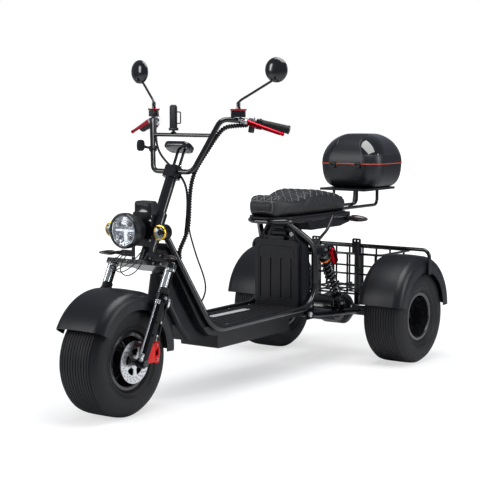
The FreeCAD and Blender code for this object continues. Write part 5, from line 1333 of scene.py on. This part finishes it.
for side, label in ((1, "left"), (-1, "right")):
    foot, top, turn = shock_frame(side)
    length = (top - foot).length
    coil = coil_shape(turn, below_coil, length - above_coil)
    piece(f"{label}_coil", coil, gloss_plastic, "chassis", ("shock_coils",) if side > 0 else ())
    collar = turned([(18, 0), (28.4, 0), (29.6, 1.2), (29.6, 5.8), (28.4, 7), (18, 7)], 48, closed=True)
    moved(collar, turn @ Matrix.Translation((0, 0, length - collar_drop)))
    piece(f"{label}_collar", collar, orange_metal, "chassis")
    threads = []
    for index in range(6):
        ring = turned([(12, 0), (18.4, 0.4), (18.4, 1.4), (12, 1.8)], 32, closed=True)
        threads.append(moved(ring, turn @ Matrix.Translation((0, 0, length - thread_drop + index * thread_pitch))))
    piece(f"{label}_threads", joined(threads), alloy, "chassis")
    for place, name in ((foot, "foot"), (top, "top")):
        bolt = placed(bolt_head(13, 8), place + Vector((side * 0.0195, 0, 0)), (side, 0, 0))
        piece(f"{label}_shock_{name}_bolt", bolt, zinc, "chassis")

bottle_low, bottle_high = as_vectors(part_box("shock_bottles"))
bottle_centre = (bottle_low + bottle_high) / 2
foot, top, turn = shock_frame(1)
way = (top - foot).normalized()
beside = Vector((0, way.z, -way.y))
fin_pitch = 6.3
bottle_line = [(0, -41), (19, -41), (21.5, -38.5)]
for step in range(11):
    height = -36 + step * fin_pitch
    bottle_line += [(23.4, height), (23.4, height + 3.6), (20.4, height + 4.0), (20.4, height + 5.9)]
bottle_line += [(22.4, 36), (20, 41), (0, 41)]
for side, label in ((1, "left"), (-1, "right")):
    centre = Vector((side * shock_x, bottle_centre.y + 0.022, bottle_centre.z - 0.016))
    bottle = placed(turned(bottle_line, 40), centre, way)
    piece(f"{label}_bottle", bottle, red_metal, "chassis", ("shock_bottles",) if side > 0 else ())
    arm = turned([(0, -30), (8, -30), (8, 26), (0, 26)], 24)
    placed(arm, centre + way * 0.026 - beside * 0.032, beside, (1, 0, 0))
    piece(f"{label}_bottle_arm", arm, dark_alloy, "chassis")
    cap = placed(turned([(0, 46), (10, 46), (14, 43), (14, 41.2), (0, 41.2)], 32), centre, way)
    piece(f"{label}_bottle_cap", cap, dark_alloy, "chassis")
print("shocks done")

# %% [markdown]
# ## Top case
# The two shells meet at a seam with a thin red reflector strip, which drops at its ends round the two hinges on the
# seat side. The strip follows the shells, so its path is a rounded rectangle a hair outside the seam, cut open where
# the hinges are.

# %% Seam strip
lid_low, lid_high = as_vectors(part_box("case_lid"))
case_half = (lid_high.x - lid_low.x) / 2
case_rear = lid_high.y
case_depth = 0.160
case_y = case_rear - case_depth
seam_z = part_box("case_lid")[0][2] + 0.0052


def rounded_path(half_x, half_y, radius, z, start_x, end_x):
    """Control points round the case at one height, open on the seat side between two places."""
    points = [Vector((start_x, -half_y, z))]
    corners = ((half_x, -half_y, -90), (half_x, half_y, 0), (-half_x, half_y, 90), (-half_x, -half_y, 180))
    for corner_x, corner_y, first in corners:
        middle_x = corner_x - math.copysign(radius, corner_x)
        middle_y = corner_y - math.copysign(radius, corner_y)
        for step in range(7):
            angle = math.radians(first + 15 * step)
            points.append(Vector((middle_x + radius * math.cos(angle), middle_y + radius * math.sin(angle), z)))
    points.append(Vector((end_x, -half_y, z)))
    return [point + Vector((0, case_y, 0)) for point in points]


strip_out, strip_radius, strip_z = 0.0012, 2.0, seam_z - 0.0014
strip_red = Paint("strip_red", (0.62, 0.045, 0.02), 0.3, Coat_Weight=0.4)
prisms = strip_red.cells(900)
strip_red.feed("Base Color", strip_red.mixed(prisms * 0.8, (0.75, 0.08, 0.03), (0.42, 0.02, 0.01)))
strip_red.feed("Roughness", 0.22 + prisms * 0.2)
strip_red.bump(prisms, 0.0003, 0.4)
path = rounded_path(case_half + strip_out, case_depth + strip_out, 0.0885, strip_z, 0.056, -0.090)
drop = Vector((0, 0, -0.008))
path = [path[0] + drop, path[0] + drop * 0.4, *path, path[-1] + drop * 0.4, path[-1] + drop]
front_y = case_y - case_depth - strip_out
ends = [Vector((x, front_y, strip_z)) for x in (-0.052, -0.0515, -0.030, 0.030, 0.048, 0.0485)]
short = [ends[0] + drop, ends[0] + drop * 0.3, *ends, ends[-1] + drop * 0.3, ends[-1] + drop]
seam_strip = joined([hose_shape(path, strip_radius), hose_shape(short, strip_radius)])
piece("seam_strip", seam_strip, strip_red, "chassis")

# %% [markdown]
# The lid's two cheeks are glossy and nearly black, and a satin band runs between them from the seat side over the top.
# Both belong to one shell, so the change of gloss is a mask in the lid's material: across, it steps where the band
# ends, and upwards, it starts a little above the seam. A narrow groove is pressed along the border of the mask. Covers
# over the hinges and a lock at the back finish the case.

# %% Lid gloss, hinge covers and lock
lid_paint = Paint("lid_plastic", (0.02, 0.021, 0.026), 0.34, Coat_Roughness=0.04)
x, y, z = lid_paint.apart(lid_paint.place())
cheek_foot, band_half, band_least, band_taper = 0.044, 0.094, 0.066, 0.55
border, groove_width = 0.0015, 0.0016
rise = z - (lid_low.z + 0.0052 + cheek_foot)
across = x.size() - (band_half - band_taper * rise).at_least(band_least)
cheek = across.soft_step(0.0, border) * rise.soft_step(0.0, border)
near_across = across.size().soft_step(0.0, groove_width)
near_low = rise.size().soft_step(0.0, groove_width)
groove = 1 - (1 - near_across) * (rise > 0) - (1 - near_low) * (across > 0)
grain = lid_paint.noise(900, 2)
broad = lid_paint.noise(8, 3)
satin = lid_paint.mixed(broad * 0.6, (0.006, 0.0065, 0.009), (0.012, 0.0125, 0.017))
lid_paint.feed("Base Color", lid_paint.mixed(cheek, satin, (0.003, 0.003, 0.0045)))
lid_paint.feed("Roughness", 0.34 + broad * 0.06 - cheek * 0.27)
lid_paint.feed("Coat Weight", cheek * 0.9)
lid_paint.bump(groove + grain * 0.02 * (1 - cheek), 0.0009, 0.8)
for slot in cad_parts["case_lid"].material_slots:
    slot.material = lid_paint.material
hinge_covers = []
for side in (-1, 1):
    plate = slab(oblong(14, 7), 2.2, 2.5, 0.6)
    hinge_covers.append(facing(plate, (side * 0.072, case_y - case_depth - 0.0072, seam_z - 0.0165)))
piece("hinge_covers", joined(hinge_covers), satin_plastic, "chassis")
lock_plate = slab(oblong(17, 24, 14), 5, 5, 1.2)
placed(lock_plate, (0, case_rear - 0.0015, seam_z - 0.03), (0, 1, 0), up_z)
lock_barrel = turned([(0, 1.2), (5.5, 1.2), (7, 0.4), (7, 0)], 28)
placed(lock_barrel, (0, case_rear + 0.0034, seam_z - 0.036), (0, 1, 0), up_z)
piece("case_lock_plate", lock_plate, satin_plastic, "chassis")
piece("case_lock_barrel", lock_barrel, chrome, "chassis")
print("top case done")

# %% [markdown]
# ## Loose cables and horn
# Thin black cables hang in open loops below the headlamp, a wire bows out from the bundle behind the head and comes
# back to the down tube, and the brake hose follows the left fork leg. Each is one smooth curve with its ends buried.
# The horn has a dark face in a bright ring.

# %% Loose cables
cable_black = grained("cable_black", (0.012, 0.012, 0.013), 0.45, 800, 0.0001)
sensor_route = [at(86, 388, 740), at(88, 390, 712), at(100, 394, 668), at(116, 404, 604), at(125, 430, 542),
                at(128, 450, 485), at(125, 444, 440), at(118, 429, 416)]
sensor_wire = piece("sensor_wire", hose_shape(sensor_route, 3.6, sides=8), cable_black, None)
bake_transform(sensor_wire)
caliper_route = [on_fork(*place) for place in (
    (92, 14, 397), (100, 26, 376), (128, 36, 334), (150, 34, 274), (152, 34, 205), (146, 42, 160), (136, 62, 120),
    (132, 84, 108), (132, 94, 100))]
piece("caliper_hose", hose_shape(caliper_route, 2.8, sides=8), cable_black, "steering")
loops = []
for start, end, dip, forward in ((-52, 40, 566, 60), (-34, 62, 552, 76), (-66, 22, 576, 48)):
    points = [at(start, 150, 642), at(start - 4, 118, 620), at(start + 6, forward, dip + 22),
              at((start + end) / 2, forward - 8, dip), at(end - 4, forward + 4, dip + 20), at(end + 4, 122, 622),
              at(end, 150, 642)]
    loops.append(hose_shape(points, 2.2))
piece("lamp_wires", joined(loops), cable_black, "steering")
print("cables done")

# %% Horn
horn_low, horn_high = as_vectors(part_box("horn"))
horn_radius = 0.037
horn_at = (horn_high.x - horn_radius, horn_low.y, (horn_low.z + horn_high.z) / 2)
cover_line = [(0, 4.5), (8, 4.2), (10, 2.5), (16, 2), (18, 3.4), (27, 3.2), (30, 1.6), (33, 0.8)]
ring_line = [(31.5, 0.4), (33, 3.6), (36, 3.8), (37.8, 2), (37.8, -5), (36.9, -5), (36.9, 0.4)]
cover = facing(turned(cover_line, 48), horn_at)
ring = facing(turned(ring_line, 64, closed=True), horn_at)
piece("horn_face", cover, dark_alloy, "chassis")
piece("horn_ring", ring, chrome, "chassis")
print("horn done")

# %% [markdown]
# ## Trim along the body
# The pillar under the seat has two ribs on each side that lean inwards at their top, and one bead runs round the
# battery's face. They are thin, so each is a slim tube half sunk in the surface. A handle tops the battery.

# %% Beads
pillar_low, pillar_high = as_vectors(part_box("seat_pillar"))
battery_low, battery_high = as_vectors(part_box("battery_box"))
bead_sink = 0.0002
beads = []
for inset in (0.010, 0.024):
    half = pillar_high.x - inset
    face = pillar_low.y - bead_sink
    points = [Vector((half - lean, face, pillar_low.z + up)) for lean, up in (
        (0, 0.004), (0, 0.14), (0.002, 0.26), (0.014, 0.315), (0.040, 0.355))]
    beads.append(hose_shape(points, 2.4))
piece("pillar_beads", with_twin(joined(beads)), satin_plastic, "chassis")
bead_outline = [(-96, 24), (96, 24), (100, 150), (100, 262), (86, 284), (-86, 284), (-100, 262), (-100, 150)]
bead_points = [Vector((x / 1000, battery_low.y - bead_sink, battery_low.z + z / 1000)) for x, z in bead_outline]
piece("battery_bead", hose_shape(bead_points + bead_points[:1], 1.6), satin_plastic, "chassis")
handle = facing(slab(oblong(44, 9), 9, 7, 2), (0, battery_low.y + 0.0085, battery_high.z + 0.0085))
piece("battery_handle", handle, satin_plastic, "chassis")
print("beads done")

# %% [markdown]
# ## Seat pillar and rear signals
# The pillar under the seat is a moulded part with stepped pockets. The rear signals are long dark lenses on short
# rubber stalks, pointed at their ends, so they are turned shapes.

# %% Pillar pockets
pocket_parts = []
for level, half, tall in ((668, 34, 10), (642, 46, 11), (616, 58, 11)):
    frame_plate = slab(oblong(half, tall, half - 6), 4, 3, 1.2)
    front = max((face for face in frame_plate.faces if face.normal.z > 0.9), key=lambda face: face.calc_area())
    bmesh.ops.inset_region(frame_plate, faces=[front], thickness=0.003, depth=-0.0028)
    pocket_parts.append(facing(frame_plate, Vector((0, pillar_low.y + 0.0004, level / 1000))))
piece("pillar_pockets", joined(pocket_parts), satin_plastic, "chassis")
print("pillar done")

# %% Rear signals
signal_low, signal_high = as_vectors(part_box("rear_turn_signals"))
signal_middle = (signal_low + signal_high) / 2
outward = Vector((1, 0.2, -0.06)).normalized()
signal_tip = Vector((signal_high.x, signal_middle.y, signal_middle.z))
signal_root = signal_tip - outward * 0.084 + Vector((0, 0.006, 0.002))
lens_body = turned([(0, 20), (12, 22), (19, 34), (20, 56), (17, 84), (9, 108), (0, 114)], 40)
placed(lens_body, signal_root, outward)
bmesh.ops.scale(lens_body, verts=lens_body.verts, vec=(1, 1, 0.82), space=Matrix.Translation(-signal_root))
stalk = turned([(0, 0), (9, 0), (7.6, 4), (7.6, 10), (9, 12), (7.6, 15), (8.6, 21), (0, 23)], 28)
placed(stalk, signal_root, outward)
piece("signal_lenses", with_twin(lens_body), smoked_glass, "chassis", ("rear_turn_signals",))
piece("signal_stalks", with_twin(stalk), rubber, "chassis")
print("rear signals done")
